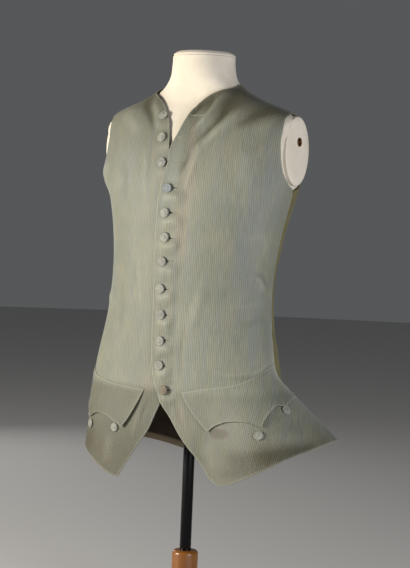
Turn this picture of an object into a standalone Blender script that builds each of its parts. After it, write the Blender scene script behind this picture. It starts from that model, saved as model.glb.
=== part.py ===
"""A sleeveless silk waistcoat of the later eighteenth century, worn by a limbless dress form on a stand.

The form is drawn as horizontal sections. A cloth piece is drawn as a flat four-sided pattern whose two
coordinates are the bearing round the body and the height, then laid on the body. Below the hip the
cloth leaves the body and hangs free, leaning outward by an angle that changes round the body.

Units are metres and degrees. +Z is up, the front faces -Y, the wearer's left is +X. A bearing is 0 at the
centre front, positive towards the wearer's left, 180 at the centre back.
"""

import math
from collections import namedtuple

import bmesh
import bpy
from mathutils import Matrix, Vector

# Driving sizes of the cloth
WALL = 0.0020
CLOTH_GAP = 0.0008
FACE = CLOTH_GAP + WALL
SEAM = 0.0003
OVERLAP_RISE = 0.0028
OVERLAP_FULL = 9.0
OVERLAP_END = 22.0
HIP_HEIGHT = 0.485
HIP_BEND = 0.030
FLAP_WALL = 0.0016
FLAP_SEAT = 0.0009

# Driving sizes of the buttons
BUTTON_RADIUS = 0.0094
BUTTON_HEIGHT = 0.0040
POCKET_BUTTON_RADIUS = 0.0086

# Driving sizes of the form and its stand
FORM_CLEARANCE = 0.0014
RIDGE_CLEARANCE = 0.0010
RIDGE_HEIGHT = 0.986
RIDGE_SPREAD = 0.024
FORM_BOTTOM = 0.430
NECK_TOP = 1.056
NECK_CAP_HEIGHT = 0.012
PLATE_X = 0.202
PLATE_HALF_WIDTH = 0.042
PLATE_HALF_HEIGHT = 0.062
PLATE_CENTRE = (0.014, 0.883)
PLATE_THICKNESS = 0.0030
SOCKET_CENTRE = (0.0157, 0.900)
SOCKET_RADIUS = 0.0082
SOCKET_BORE = 0.0052
ROD_RADIUS = 0.011
COLUMN_RADIUS = 0.025
COLUMN_TOP = 0.118
BASE_RADIUS = 0.170
BASE_HEIGHT = 0.026

# Mesh fineness
FRONT_COLUMNS = 13
BACK_COLUMNS = 10
FORM_SIDES = 40
FLAP_ROWS = 5
BUTTON_SIDES = 10
ROUND_SIDES = 28

Section = namedtuple("Section", "height half_width centre_y front back power")
SECTIONS = [
    Section(0.380, 0.2000, -0.034, 0.105, 0.116, 2.20),
    Section(0.440, 0.1940, -0.035, 0.108, 0.115, 2.20),
    Section(0.500, 0.1820, -0.032, 0.109, 0.109, 2.20),
    Section(0.560, 0.1700, -0.026, 0.110, 0.100, 2.15),
    Section(0.620, 0.1655, -0.018, 0.110, 0.097, 2.10),
    Section(0.680, 0.1670, -0.009, 0.109, 0.103, 2.15),
    Section(0.740, 0.1760, -0.001, 0.106, 0.113, 2.20),
    Section(0.800, 0.1900, 0.006, 0.101, 0.122, 2.30),
    Section(0.850, 0.2030, 0.007, 0.094, 0.124, 2.30),
    Section(0.900, 0.2110, 0.008, 0.083, 0.116, 2.30),
    Section(0.935, 0.2080, 0.006, 0.070, 0.101, 2.30),
    Section(0.955, 0.1820, 0.001, 0.060, 0.088, 2.20),
    Section(0.975, 0.1300, -0.003, 0.051, 0.075, 2.10),
    Section(0.995, 0.0900, -0.003, 0.050, 0.066, 2.05),
    Section(1.015, 0.0700, -0.002, 0.054, 0.060, 2.00),
    Section(1.040, 0.0620, -0.001, 0.060, 0.057, 2.00),
    Section(1.070, 0.0610, 0.000, 0.061, 0.058, 2.00),
]

# How far each skirt leans out from the vertical, by bearing
Lean = namedtuple("Lean", "bearing degrees")
LEAN_LEFT = [
    Lean(-20, 1),
    Lean(20, 1),
    Lean(45, 2),
    Lean(60, 4),
    Lean(70, 12),
    Lean(80, 27),
    Lean(90, 42),
    Lean(98, 48),
    Lean(104, 49),
]
LEAN_RIGHT = [
    Lean(-104, 12),
    Lean(-98, 12),
    Lean(-84, 6),
    Lean(-72, 4),
    Lean(-60, 3),
    Lean(-45, 2),
    Lean(-20, 1),
    Lean(20, 1),
]
LEAN_BACK = [Lean(90, 9), Lean(105, 8), Lean(135, 8), Lean(180, 8)]

# A point on a piece's edge: the row of the mesh, the bearing, and the height up the pattern
Edge = namedtuple("Edge", "row bearing height")
ROWS = 29
SIDE_EDGE = [
    Edge(0, 99.4, 0.307),
    Edge(2, 99.2, 0.357),
    Edge(4, 98.8, 0.413),
    Edge(6, 98.0, 0.456),
    Edge(7, 97.6, 0.471),
    Edge(8, 97.6, 0.488),
    Edge(9, 98.2, 0.515),
    Edge(10, 99.0, 0.545),
    Edge(11, 99.4, 0.580),
    Edge(12, 98.4, 0.617),
    Edge(13, 97.7, 0.655),
    Edge(14, 97.2, 0.692),
    Edge(15, 95.8, 0.731),
    Edge(16, 94.6, 0.771),
    Edge(17, 92.0, 0.809),
    Edge(18, 85.6, 0.8205),
    Edge(19, 80.6, 0.838),
    Edge(20, 77.6, 0.866),
    Edge(21, 76.8, 0.892),
    Edge(22, 77.6, 0.913),
    Edge(23, 78.4, 0.926),
    Edge(24, 80.2, 0.9355),
    Edge(25, 82.8, 0.9425),
    Edge(26, 85.7, 0.947),
    Edge(27, 89.0, 0.9505),
    Edge(28, 92.5, 0.9525),
    Edge(29, 96.0, 0.953),
]
RIGHT_SIDE_EDGE = [
    *SIDE_EDGE[:15],
    Edge(18, 84.5, 0.820),
    Edge(19, 78.5, 0.838),
    Edge(20, 74.2, 0.866),
    Edge(21, 72.4, 0.890),
    Edge(22, 72.8, 0.910),
    Edge(23, 73.8, 0.925),
    Edge(24, 76.2, 0.9355),
    Edge(25, 79.6, 0.9425),
    Edge(26, 83.4, 0.947),
    Edge(27, 87.4, 0.9505),
    Edge(28, 91.6, 0.9525),
    Edge(29, 96.0, 0.953),
]
BACK_SIDE_EDGE = [
    Edge(0, 104.0, 0.316),
    Edge(2, 103.0, 0.362),
    Edge(4, 101.2, 0.416),
    Edge(6, 99.2, 0.456),
    Edge(7, 98.2, 0.471),
    *SIDE_EDGE[5:14],
    Edge(17, 93.4, 0.8085),
    Edge(18, 98.6, 0.813),
    Edge(19, 103.6, 0.829),
    Edge(20, 107.0, 0.855),
    Edge(21, 108.2, 0.881),
    Edge(22, 108.0, 0.901),
    Edge(23, 107.0, 0.917),
    Edge(24, 105.8, 0.929),
    Edge(25, 104.4, 0.938),
    Edge(26, 102.7, 0.945),
    Edge(27, 100.7, 0.9495),
    Edge(28, 98.4, 0.952),
    Edge(29, 96.0, 0.953),
]
LEFT_FRONT_EDGE = [
    Edge(0, 65.8, 0.272),
    Edge(1, 60.2, 0.283),
    Edge(2, 50.8, 0.315),
    Edge(3, 34.1, 0.351),
    Edge(4, 18.4, 0.3865),
    Edge(5, 4.3, 0.412),
    Edge(6, -1.5, 0.430),
    Edge(7, -8.6, 0.452),
    Edge(8, -11.9, 0.481),
    Edge(9, -12.9, 0.512),
    Edge(12, -11.5, 0.600),
    Edge(15, -11.2, 0.705),
    Edge(17, -10.9, 0.785),
    Edge(18, -8.8, 0.820),
    Edge(19, -5.2, 0.852),
    Edge(20, -5.2, 0.880),
    Edge(21, 1.0, 0.908),
    Edge(22, 7.0, 0.932),
    Edge(23, 14.5, 0.951),
    Edge(24, 24.5, 0.9640),
    Edge(25, 36.5, 0.9750),
    Edge(26, 49.5, 0.9852),
    Edge(27, 63.5, 0.9925),
    Edge(28, 79.5, 0.9995),
    Edge(29, 96.0, 1.007),
]
RIGHT_FRONT_EDGE = [
    Edge(0, -49.6, 0.2625),
    Edge(1, -38.9, 0.2985),
    Edge(2, -27.4, 0.3305),
    Edge(3, -14.4, 0.3585),
    Edge(4, -3.6, 0.391),
    Edge(5, 4.1, 0.4135),
    Edge(6, 5.8, 0.434),
    Edge(7, 6.8, 0.456),
    Edge(9, 7.4, 0.512),
    Edge(12, 7.2, 0.600),
    Edge(15, 6.6, 0.705),
    Edge(17, 6.0, 0.785),
    Edge(18, 3.8, 0.820),
    Edge(19, -0.5, 0.850),
    Edge(20, -6.0, 0.878),
    Edge(21, -10.0, 0.903),
    Edge(22, -16.0, 0.928),
    Edge(23, -24.0, 0.943),
    Edge(24, -34.0, 0.9555),
    Edge(25, -45.0, 0.9665),
    Edge(26, -56.5, 0.9770),
    Edge(27, -69.0, 0.9870),
    Edge(28, -82.5, 0.9965),
    Edge(29, -96.0, 1.007),
]
CENTRE_BACK_EDGE = [
    Edge(0, 180.0, 0.270),
    Edge(4, 180.0, 0.397),
    Edge(8, 180.0, 0.490),
    Edge(16, 180.0, 0.762),
    Edge(20, 180.0, 0.870),
    Edge(23, 180.0, 0.925),
    Edge(26, 180.0, 0.962),
    Edge(29, 180.0, 0.986),
]

# A point on a hem, a neck or a pocket flap: the share of the way along, the bearing, and the height
Along = namedtuple("Along", "share bearing height")
LEFT_HEM = [
    Along(0.00, 65.8, 0.272),
    Along(0.10, 70.5, 0.276),
    Along(0.24, 75.4, 0.285),
    Along(0.40, 80.1, 0.297),
    Along(0.55, 84.1, 0.308),
    Along(0.72, 88.2, 0.3125),
    Along(0.91, 95.7, 0.309),
    Along(1.00, 99.4, 0.307),
]
RIGHT_HEM = [
    Along(0.00, -49.6, 0.2625),
    Along(0.18, -57.5, 0.2655),
    Along(0.36, -66.1, 0.277),
    Along(0.52, -73.5, 0.290),
    Along(0.66, -80.0, 0.3005),
    Along(0.82, -89.0, 0.3065),
    Along(1.00, -99.4, 0.307),
]
LEFT_FLAP_TOP = [
    Along(0.00, 32.5, 0.434),
    Along(0.18, 43.5, 0.4387),
    Along(0.36, 54.5, 0.4448),
    Along(0.54, 65.1, 0.4512),
    Along(0.68, 73.4, 0.459),
    Along(0.80, 80.3, 0.472),
    Along(0.90, 88.0, 0.485),
    Along(1.00, 97.2, 0.4915),
]
LEFT_FLAP_HEM = [
    Along(0.000, 57.8, 0.3671),
    Along(0.090, 61.3, 0.3772),
    Along(0.180, 65.7, 0.3847),
    Along(0.270, 69.0, 0.3876),
    Along(0.360, 72.6, 0.3882),
    Along(0.450, 76.6, 0.3850),
    Along(0.545, 80.2, 0.3739),
    Along(0.620, 81.5, 0.3890),
    Along(0.695, 83.2, 0.4009),
    Along(0.770, 85.1, 0.4085),
    Along(0.845, 87.2, 0.4031),
    Along(0.900, 89.7, 0.4099),
    Along(0.950, 94.0, 0.4148),
    Along(1.000, 98.0, 0.4150),
]
RIGHT_FLAP_TOP = [
    Along(0.00, -22.6, 0.432),
    Along(0.18, -35.4, 0.4333),
    Along(0.36, -46.6, 0.4348),
    Along(0.54, -58.5, 0.4368),
    Along(0.68, -67.5, 0.4412),
    Along(0.80, -76.5, 0.4475),
    Along(0.90, -86.5, 0.466),
    Along(1.00, -97.2, 0.487),
]
RIGHT_FLAP_HEM = [
    Along(0.000, -46.6, 0.3565),
    Along(0.090, -51.7, 0.3625),
    Along(0.180, -56.0, 0.3672),
    Along(0.270, -60.7, 0.3734),
    Along(0.360, -65.8, 0.3762),
    Along(0.450, -71.0, 0.3744),
    Along(0.545, -77.0, 0.3630),
    Along(0.620, -79.0, 0.3740),
    Along(0.695, -81.5, 0.3835),
    Along(0.770, -84.8, 0.3870),
    Along(0.845, -88.4, 0.3760),
    Along(0.900, -90.8, 0.3850),
    Along(0.950, -94.4, 0.3900),
    Along(1.000, -98.0, 0.3905),
]

# The twelve buttons down the front: distance from the centre line, and height
Button = namedtuple("Button", "x height")
RIGHT_NECK_BUTTONS = [Button(-0.0410, 0.943), Button(-0.0315, 0.901), Button(-0.0222, 0.854)]
CLOSED_BUTTONS = [
    Button(-0.0010, 0.806),
    Button(-0.0020, 0.761),
    Button(0.0015, 0.716),
    Button(-0.0010, 0.671),
    Button(-0.0020, 0.621),
    Button(0.0010, 0.574),
    Button(0.0010, 0.525),
    Button(0.0010, 0.480),
    Button(0.0120, 0.435),
]
# The pocket buttons: bearing and pattern height; the left pocket has lost its first one
PocketButton = namedtuple("PocketButton", "name bearing height")
POCKET_BUTTONS = [
    PocketButton("pocket_button_left_2", 79.2, 0.3600),
    PocketButton("pocket_button_left_3", 87.6, 0.3990),
    PocketButton("pocket_button_right_1", -54.5, 0.3540),
    PocketButton("pocket_button_right_2", -76.0, 0.3510),
    PocketButton("pocket_button_right_3", -88.4, 0.3640),
]

SILK = ("sage_ribbed_silk", "8F907B", 0.62, 0.0)
BACK_WOOL = ("olive_back_cloth", "6E6941", 0.75, 0.0)
BUTTON_SILK = ("silk_covered_button", "94948A", 0.60, 0.0)
FORM_SKIN = ("cream_form_covering", "C6BEAD", 0.70, 0.0)
BRASS = ("aged_brass", "9A7A46", 0.35, 1.0)
BLACK_ENAMEL = ("black_enamelled_steel", "0B0B0D", 0.18, 0.0)
BEECH = ("varnished_beech", "9A6A38", 0.40, 0.0)


def smooth_step(value):
    value = min(max(value, 0.0), 1.0)
    return value * value * (3 - 2 * value)


def curve_through(rows, key):
    """A smooth curve through rows of a table, as a function of their first column."""
    keys = [row[0] for row in rows]
    key = min(max(key, keys[0]), keys[-1])
    last = len(rows) - 1
    index = max(i for i in range(last) if keys[i] <= key)
    span = keys[index + 1] - keys[index]
    t = (key - keys[index]) / span

    def slope(i, column):
        before, after = max(i - 1, 0), min(i + 1, last)
        if before == i or after == i:
            return (rows[after][column] - rows[before][column]) / (keys[after] - keys[before])
        into = (rows[i][column] - rows[before][column]) / (keys[i] - keys[before])
        out_of = (rows[after][column] - rows[i][column]) / (keys[after] - keys[i])
        weight = (keys[after] - keys[i]) / (keys[after] - keys[before])
        return into * weight + out_of * (1 - weight)

    values = []
    for column in range(1, len(rows[0])):
        start, end = rows[index][column], rows[index + 1][column]
        rise_start = slope(index, column) * span
        rise_end = slope(index + 1, column) * span
        value = (2 * t**3 - 3 * t**2 + 1) * start + (t**3 - 2 * t**2 + t) * rise_start
        value += (3 * t**2 - 2 * t**3) * end + (t**3 - t**2) * rise_end
        values.append(value)
    return values


def line_through(rows, key):
    """The same table joined by straight lines, for an edge with sharp points."""
    for first, second in zip(rows, rows[1:]):
        if key <= second[0]:
            t = (key - first[0]) / (second[0] - first[0])
            return [a + (b - a) * t for a, b in zip(first[1:], second[1:])]
    return list(rows[-1][1:])


def body_point(bearing, height, out):
    """A point of the body's surface at a bearing and a height, moved out by a distance."""
    half_width, centre_y, front, back, power = curve_through(SECTIONS, height)
    half_width, front, back = half_width + out, front + out, back + out
    across, ahead = math.sin(math.radians(bearing)), math.cos(math.radians(bearing))
    depth = front + centre_y if ahead > 0 else back - centre_y
    reach = (abs(across) / half_width) ** power + (abs(ahead) / depth) ** power
    radius = reach ** (-1 / power)
    radius *= min(1.0, (PLATE_X + out) / max(abs(radius * across), 1e-9))
    return Vector((radius * across, centre_y - radius * ahead, height))


def hip_frame(bearing, out):
    """The point where the cloth leaves the body, the level direction out of it, and the body's lean there."""
    step = 0.05
    rise = 0.001
    hip = body_point(bearing, HIP_HEIGHT, out)
    along = body_point(bearing + step, HIP_HEIGHT, out) - body_point(bearing - step, HIP_HEIGHT, out)
    outward = Vector((along.y, -along.x, 0)).normalized()
    climb = body_point(bearing, HIP_HEIGHT + rise, out) - body_point(bearing, HIP_HEIGHT - rise, out)
    return hip, outward, math.atan(-climb.dot(outward) / (2 * rise))


def face_point(bearing, height, leans):
    """A point of the cloth's face: on the body above the hip, and hanging at its full length below."""
    if height >= HIP_HEIGHT:
        return body_point(bearing, height, FACE)
    hip, outward, lean_start = hip_frame(bearing, FACE)
    lean_end = math.radians(curve_through(leans, bearing)[0])
    length = HIP_HEIGHT - height
    bent = min(length, HIP_BEND)
    turn = (lean_end - lean_start) / HIP_BEND
    lean = lean_start + turn * bent
    if abs(turn) < 1e-4:
        away, down = math.sin(lean) * bent, math.cos(lean) * bent
    else:
        away = (math.cos(lean_start) - math.cos(lean)) / turn
        down = (math.sin(lean) - math.sin(lean_start)) / turn
    away += math.sin(lean_end) * (length - bent)
    down += math.cos(lean_end) * (length - bent)
    return hip + outward * away + Vector((0, 0, -down))


def cloth_point(bearing, height, out, leans):
    """A point at a distance out from the body, counted square to the cloth's face."""
    turn, climb = 0.05, 0.0005
    face = face_point(bearing, height, leans)
    along = face_point(bearing + turn, height, leans) - face_point(bearing - turn, height, leans)
    upward = face_point(bearing, height + climb, leans) - face_point(bearing, height - climb, leans)
    return face + along.cross(upward).normalized() * (out - FACE)


def overlap_rise(bearing):
    """How far the left front rises to pass over the right front's edge."""
    return OVERLAP_RISE * (1 - smooth_step((bearing - OVERLAP_FULL) / (OVERLAP_END - OVERLAP_FULL)))


def four_sided(left, right, bottom, top, across, up):
    """A point of a flat patch with four curved sides, each given as a function of its share."""
    values = []
    corners = (bottom(0), bottom(1), top(0), top(1))
    for i in range(2):
        value = (1 - up) * bottom(across)[i] + up * top(across)[i]
        value += (1 - across) * left(up)[i] + across * right(up)[i]
        value -= (1 - across) * (1 - up) * corners[0][i] + across * (1 - up) * corners[1][i]
        value -= (1 - across) * up * corners[2][i] + across * up * corners[3][i]
        values.append(value)
    return values


def material(finish):
    """A plain material of a given colour, roughness and metallic value, made once."""
    name, colour, roughness, metallic = finish
    existing = bpy.data.materials.get(name)
    if existing:
        return existing
    new = bpy.data.materials.new(name)
    new.use_nodes = True
    shader = new.node_tree.nodes["Principled BSDF"]
    channels = [int(colour[i : i + 2], 16) / 255 for i in (0, 2, 4)]
    linear = [c / 12.92 if c <= 0.04045 else ((c + 0.055) / 1.055) ** 2.4 for c in channels]
    shader.inputs["Base Color"].default_value = (*linear, 1)
    shader.inputs["Roughness"].default_value = roughness
    shader.inputs["Metallic"].default_value = metallic
    return new


def add_object(name, mesh_builder, finish, sharp_angle=50):
    """Turns a bmesh into a named object, smooth but for its sharp edges."""
    bmesh.ops.recalc_face_normals(mesh_builder, faces=mesh_builder.faces)
    if mesh_builder.calc_volume(signed=True) < 0:
        bmesh.ops.reverse_faces(mesh_builder, faces=mesh_builder.faces)
    mesh = bpy.data.meshes.new(name)
    mesh_builder.to_mesh(mesh)
    mesh_builder.free()
    mesh.shade_smooth()
    mesh.set_sharp_from_angle(angle=math.radians(sharp_angle))
    mesh.materials.append(material(finish))
    piece = bpy.data.objects.new(name, mesh)
    bpy.context.scene.collection.objects.link(piece)
    return piece


def lay_cloth(name, columns, rows, place, finish):
    """A flat slab of cloth, a grid extruded to two faces, then laid where place() puts each point."""
    cloth = bmesh.new()
    bmesh.ops.create_grid(cloth, x_segments=columns, y_segments=rows, size=0.5)
    bmesh.ops.translate(cloth, verts=cloth.verts, vec=(0.5, 0.5, 0))
    outer = bmesh.ops.extrude_face_region(cloth, geom=cloth.faces[:])["geom"]
    outer = [part for part in outer if isinstance(part, bmesh.types.BMVert)]
    bmesh.ops.translate(cloth, verts=outer, vec=(0, 0, 1))
    for point in cloth.verts:
        point.co = place(point.co.x, point.co.y, point.co.z)
    return add_object(name, cloth, finish)


def closer_at_side(share):
    """Spaces a front's columns closer together towards the side, where the body turns fastest."""
    crowding = 0.35
    return share * (1 + crowding * (1 - share))


def neck_and_shoulder(side):
    """A front's top edge: the shoulder seam, from the neck point down to the tip of the shoulder."""
    neck, tip = LEFT_FRONT_EDGE[-1], SIDE_EDGE[-1]

    def seam(share):
        return side * neck.bearing, neck.height + (tip.height - neck.height) * share

    return seam


def front_panel(name, side, front_edge, hem, leans, rise):
    """One front, from the hem's two corners up to the shoulder seam."""
    side_edge = SIDE_EDGE if side > 0 else RIGHT_SIDE_EDGE

    def left(share):
        return curve_through(front_edge, share * ROWS)

    def right(share):
        bearing, height = curve_through(side_edge, share * ROWS)
        return side * bearing, height

    def bottom(share):
        return curve_through(hem, share)

    def place(across, up, layer):
        across = closer_at_side(across)
        bearing, height = four_sided(left, right, bottom, neck_and_shoulder(side), across, up)
        return cloth_point(bearing, height, CLOTH_GAP + rise(bearing) + WALL * layer, leans)

    return lay_cloth(name, FRONT_COLUMNS, ROWS, place, SILK)


def beside_seam(bearing, height, distance):
    """A bearing moved on by a distance along the surface."""
    point = body_point(bearing, height, 0)
    centre_y = curve_through(SECTIONS, height)[1]
    return bearing + math.degrees(distance / math.hypot(point.x, point.y - centre_y))


def back_panel(name, side):
    """One half of the back, from the side seam to the centre seam, with its half of the neck."""
    neck, tip, centre = LEFT_FRONT_EDGE[-1], SIDE_EDGE[-1], CENTRE_BACK_EDGE[-1]
    hem_corner, hem_centre = BACK_SIDE_EDGE[0], CENTRE_BACK_EDGE[0]
    shoulder_share = 0.58
    top_edge = [
        Along(0.0, tip.bearing, tip.height),
        Along(shoulder_share / 2, tip.bearing, (tip.height + neck.height) / 2),
        Along(shoulder_share, neck.bearing, neck.height),
        Along(0.72, 122.0, 0.999),
        Along(0.86, 152.0, 0.990),
        Along(1.0, centre.bearing, centre.height),
    ]

    def left(share):
        return curve_through(BACK_SIDE_EDGE, share * ROWS)

    def right(share):
        return curve_through(CENTRE_BACK_EDGE, share * ROWS)

    def bottom(share):
        drop = (hem_centre.height - hem_corner.height) * smooth_step(share)
        return hem_corner.bearing + (180 - hem_corner.bearing) * share, hem_corner.height + drop

    def top(share):
        return line_through(top_edge, share)

    def place(across, up, layer):
        bearing, height = four_sided(left, right, bottom, top, across, up)
        before_neck = smooth_step((0.95 - across) / 0.3)
        seam_share = before_neck * (1 - smooth_step(min(across, 1 - up) / 0.2))
        bearing = beside_seam(bearing, height, SEAM * seam_share)
        centre_share = 1 - smooth_step((1 - across) / 0.2)
        bearing = beside_seam(bearing, height, -SEAM / 2 * centre_share)
        point = cloth_point(bearing, height, CLOTH_GAP + WALL * layer, LEAN_BACK)
        point.x *= side
        return point

    return lay_cloth(name, BACK_COLUMNS, ROWS, place, BACK_WOOL)


def flap_lift(bearing, height, up, side):
    """How far a pocket flap stands off the front: seated at its top, free and lifted at its points."""
    lift = FLAP_SEAT + 0.0014 * (1 - up) ** 1.5
    button = POCKET_BUTTONS[1] if side > 0 else POCKET_BUTTONS[4]
    arc = math.radians(bearing - button.bearing) * 0.20
    distance = math.hypot(arc, height - button.height)
    lift += 0.0052 * math.exp(-((distance / 0.020) ** 2))
    if side < 0:
        tip = RIGHT_FLAP_HEM[0]
        arc = math.radians(bearing - tip.bearing) * 0.13
        distance = math.hypot(arc, height - tip.height)
        lift += 0.0030 * math.exp(-((distance / 0.022) ** 2))
    return lift


def pocket_flap(name, side, top_edge, hem, leans):
    """A three-pointed pocket flap that lies on a front and follows it."""
    steps = 2 * (len(hem) - 1)
    front_sag = -0.0020

    def left(share):
        bearing = hem[0].bearing + (top_edge[0].bearing - hem[0].bearing) * share
        height = hem[0].height + (top_edge[0].height - hem[0].height) * share
        return bearing, height + front_sag * math.sin(math.pi * share)

    def right(share):
        bearing = hem[-1].bearing + (top_edge[-1].bearing - hem[-1].bearing) * share
        return bearing, hem[-1].height + (top_edge[-1].height - hem[-1].height) * share

    def bottom(share):
        return line_through(hem, share)

    def top(share):
        return curve_through(top_edge, share)

    def place(across, up, layer):
        column = round(across * steps)
        share = (hem[column // 2].share + hem[(column + 1) // 2].share) / 2
        bearing, height = four_sided(left, right, bottom, top, share, up)
        out = FACE + flap_lift(bearing, height, up, side) + FLAP_WALL * layer
        return cloth_point(bearing, height, out, leans)

    return lay_cloth(name, steps, FLAP_ROWS, place, SILK)


def turned(name, profile, sides, finish, place=None):
    """A solid turned round Z from a profile of (radius, height) pairs, closed at both ends."""
    solid = bmesh.new()
    points = [solid.verts.new((radius, 0, height)) for radius, height in profile]
    edges = [solid.edges.new(pair) for pair in zip(points, points[1:])]
    geometry = points + edges
    bmesh.ops.spin(
        solid,
        geom=geometry,
        cent=(0, 0, 0),
        axis=(0, 0, 1),
        angle=math.tau,
        steps=sides,
        use_merge=True,
    )
    bmesh.ops.remove_doubles(solid, verts=solid.verts, dist=1e-6)
    bmesh.ops.holes_fill(solid, edges=[edge for edge in solid.edges if edge.is_boundary], sides=0)
    if place:
        bmesh.ops.transform(solid, matrix=place, verts=solid.verts)
    return add_object(name, solid, finish, sharp_angle=35)


def frame_on_cloth(bearing, height, out, leans):
    """A place on the cloth whose Z axis points straight out of it."""
    step_bearing, step_height = 0.5, 0.002
    point = cloth_point(bearing, height, out, leans)
    along = cloth_point(bearing + step_bearing, height, out, leans) - point
    above = cloth_point(bearing, height + step_height, out, leans) - point
    outward = along.cross(above).normalized()
    above = above.normalized()
    along = above.cross(outward)
    return Matrix.Translation(point) @ Matrix((along, above, outward)).transposed().to_4x4()


def covered_button(name, bearing, height, out, leans, radius):
    """A flat wooden mould covered with silk, seated on the cloth."""
    profile = [
        (radius * 0.72, SEAM),
        (radius, BUTTON_HEIGHT * 0.45),
        (radius * 0.88, BUTTON_HEIGHT * 0.84),
        (radius * 0.45, BUTTON_HEIGHT),
    ]
    place = frame_on_cloth(bearing, height, out, leans)
    return turned(name, profile, BUTTON_SIDES, BUTTON_SILK, place)


def bearing_of(x, height):
    """The bearing on the front of the body at a distance from the centre line."""
    _, centre_y, front, _, _ = curve_through(SECTIONS, height)
    return math.degrees(math.atan2(x, front + centre_y))


def build_cloth():
    front_panel("front_left", 1, LEFT_FRONT_EDGE, LEFT_HEM, LEAN_LEFT, overlap_rise)
    front_panel("front_right", -1, RIGHT_FRONT_EDGE, RIGHT_HEM, LEAN_RIGHT, lambda bearing: 0.0)
    back_panel("back_left", 1)
    back_panel("back_right", -1)
    pocket_flap("pocket_flap_left", 1, LEFT_FLAP_TOP, LEFT_FLAP_HEM, LEAN_LEFT)
    pocket_flap("pocket_flap_right", -1, RIGHT_FLAP_TOP, RIGHT_FLAP_HEM, LEAN_RIGHT)


def build_buttons():
    number = 0
    for row in RIGHT_NECK_BUTTONS:
        number += 1
        bearing = bearing_of(row.x, row.height)
        covered_button(f"button_{number:02d}", bearing, row.height, FACE, LEAN_RIGHT, BUTTON_RADIUS)
    for row in CLOSED_BUTTONS:
        number += 1
        bearing = bearing_of(row.x, row.height)
        out = FACE + OVERLAP_RISE
        covered_button(f"button_{number:02d}", bearing, row.height, out, LEAN_LEFT, BUTTON_RADIUS)
    for row in POCKET_BUTTONS:
        leans = LEAN_LEFT if row.bearing > 0 else LEAN_RIGHT
        covered_button(row.name, row.bearing, row.height, FACE, leans, POCKET_BUTTON_RADIUS)


def build_form():
    """The limbless form: a closed skin from its rounded lower edge to the top of its neck."""
    Ring = namedtuple("Ring", "height inset")
    rings = [Ring(FORM_BOTTOM, 0.026), Ring(0.434, 0.014), Ring(0.446, 0.006), Ring(0.465, 0.003)]
    trunk = (0.490, 0.540, 0.590, 0.640, 0.690, 0.740, 0.785, 0.825, 0.860, 0.890, 0.913, 0.930)
    shoulders = (0.942, 0.951, 0.960, 0.970, 0.981, 0.994, 1.008, 1.026, NECK_TOP)
    for height in trunk + shoulders:
        at_ridge = math.exp(-(((height - RIDGE_HEIGHT) / RIDGE_SPREAD) ** 2))
        rings.append(Ring(height, FORM_CLEARANCE + RIDGE_CLEARANCE * at_ridge))

    form = bmesh.new()
    bmesh.ops.create_circle(form, cap_ends=False, segments=FORM_SIDES, radius=1)
    loops = [form.edges[:]]
    for _ in rings[1:]:
        grown = bmesh.ops.extrude_edge_only(form, edges=loops[-1])["geom"]
        fresh = [part for part in grown if isinstance(part, bmesh.types.BMVert)]
        bmesh.ops.translate(form, verts=fresh, vec=(0, 0, 1))
        loops.append([part for part in grown if isinstance(part, bmesh.types.BMEdge) and part.is_boundary])
    bmesh.ops.holes_fill(form, edges=[edge for edge in form.edges if edge.is_boundary], sides=0)
    for point in form.verts:
        ring = rings[round(point.co.z)]
        bearing = math.degrees(math.atan2(point.co.x, -point.co.y))
        section = cloth_point(bearing, max(ring.height, HIP_HEIGHT), -ring.inset, LEAN_BACK)
        flat = PLATE_X - ring.inset
        x = min(max(section.x, -flat), flat)
        level = ring.height < HIP_HEIGHT or ring.height == NECK_TOP
        point.co = (x, section.y, ring.height if level else section.z)
    add_object("form_torso", form, FORM_SKIN)

    _, centre_y, front, _, _ = curve_through(SECTIONS, NECK_TOP)
    radius = front + centre_y - FORM_CLEARANCE
    bottom = NECK_TOP + SEAM
    profile = [
        (radius * 0.97, bottom),
        (radius, bottom + NECK_CAP_HEIGHT * 0.30),
        (radius * 0.88, bottom + NECK_CAP_HEIGHT * 0.80),
        (radius * 0.45, bottom + NECK_CAP_HEIGHT),
    ]
    turned("form_neck_cap", profile, ROUND_SIDES, FORM_SKIN)


def build_arm_plate(name, side):
    """The flat oval plate that closes the form where an arm would be, bored for the socket."""
    inner_x = PLATE_X - FORM_CLEARANCE + SEAM
    centre_y, centre_z = PLATE_CENTRE
    socket_y, socket_z = SOCKET_CENTRE
    edge_round = 0.0012
    Outline = namedtuple("Outline", "x half_width half_height y z")
    bore = SOCKET_RADIUS + SEAM
    outer_x = inner_x + PLATE_THICKNESS
    outlines = [
        Outline(inner_x, bore, bore, socket_y, socket_z),
        Outline(inner_x, PLATE_HALF_WIDTH, PLATE_HALF_HEIGHT, centre_y, centre_z),
        Outline(outer_x - edge_round, PLATE_HALF_WIDTH, PLATE_HALF_HEIGHT, centre_y, centre_z),
        Outline(outer_x, PLATE_HALF_WIDTH - edge_round, PLATE_HALF_HEIGHT - edge_round, centre_y, centre_z),
        Outline(outer_x, bore, bore, socket_y, socket_z),
    ]
    plate = bmesh.new()
    points = [plate.verts.new((1, 0, index)) for index in range(len(outlines))]
    edges = [plate.edges.new(pair) for pair in zip(points, points[1:] + points[:1])]
    turn = {"cent": (0, 0, 0), "axis": (0, 0, 1), "angle": math.tau, "steps": ROUND_SIDES}
    bmesh.ops.spin(plate, geom=points + edges, use_merge=True, **turn)
    for point in plate.verts:
        row = outlines[round(point.co.z)]
        y = row.y + point.co.x * row.half_width
        z = row.z + point.co.y * row.half_height
        point.co = (side * row.x, y, z)
    add_object(name, plate, FORM_SKIN, sharp_angle=30)


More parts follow.
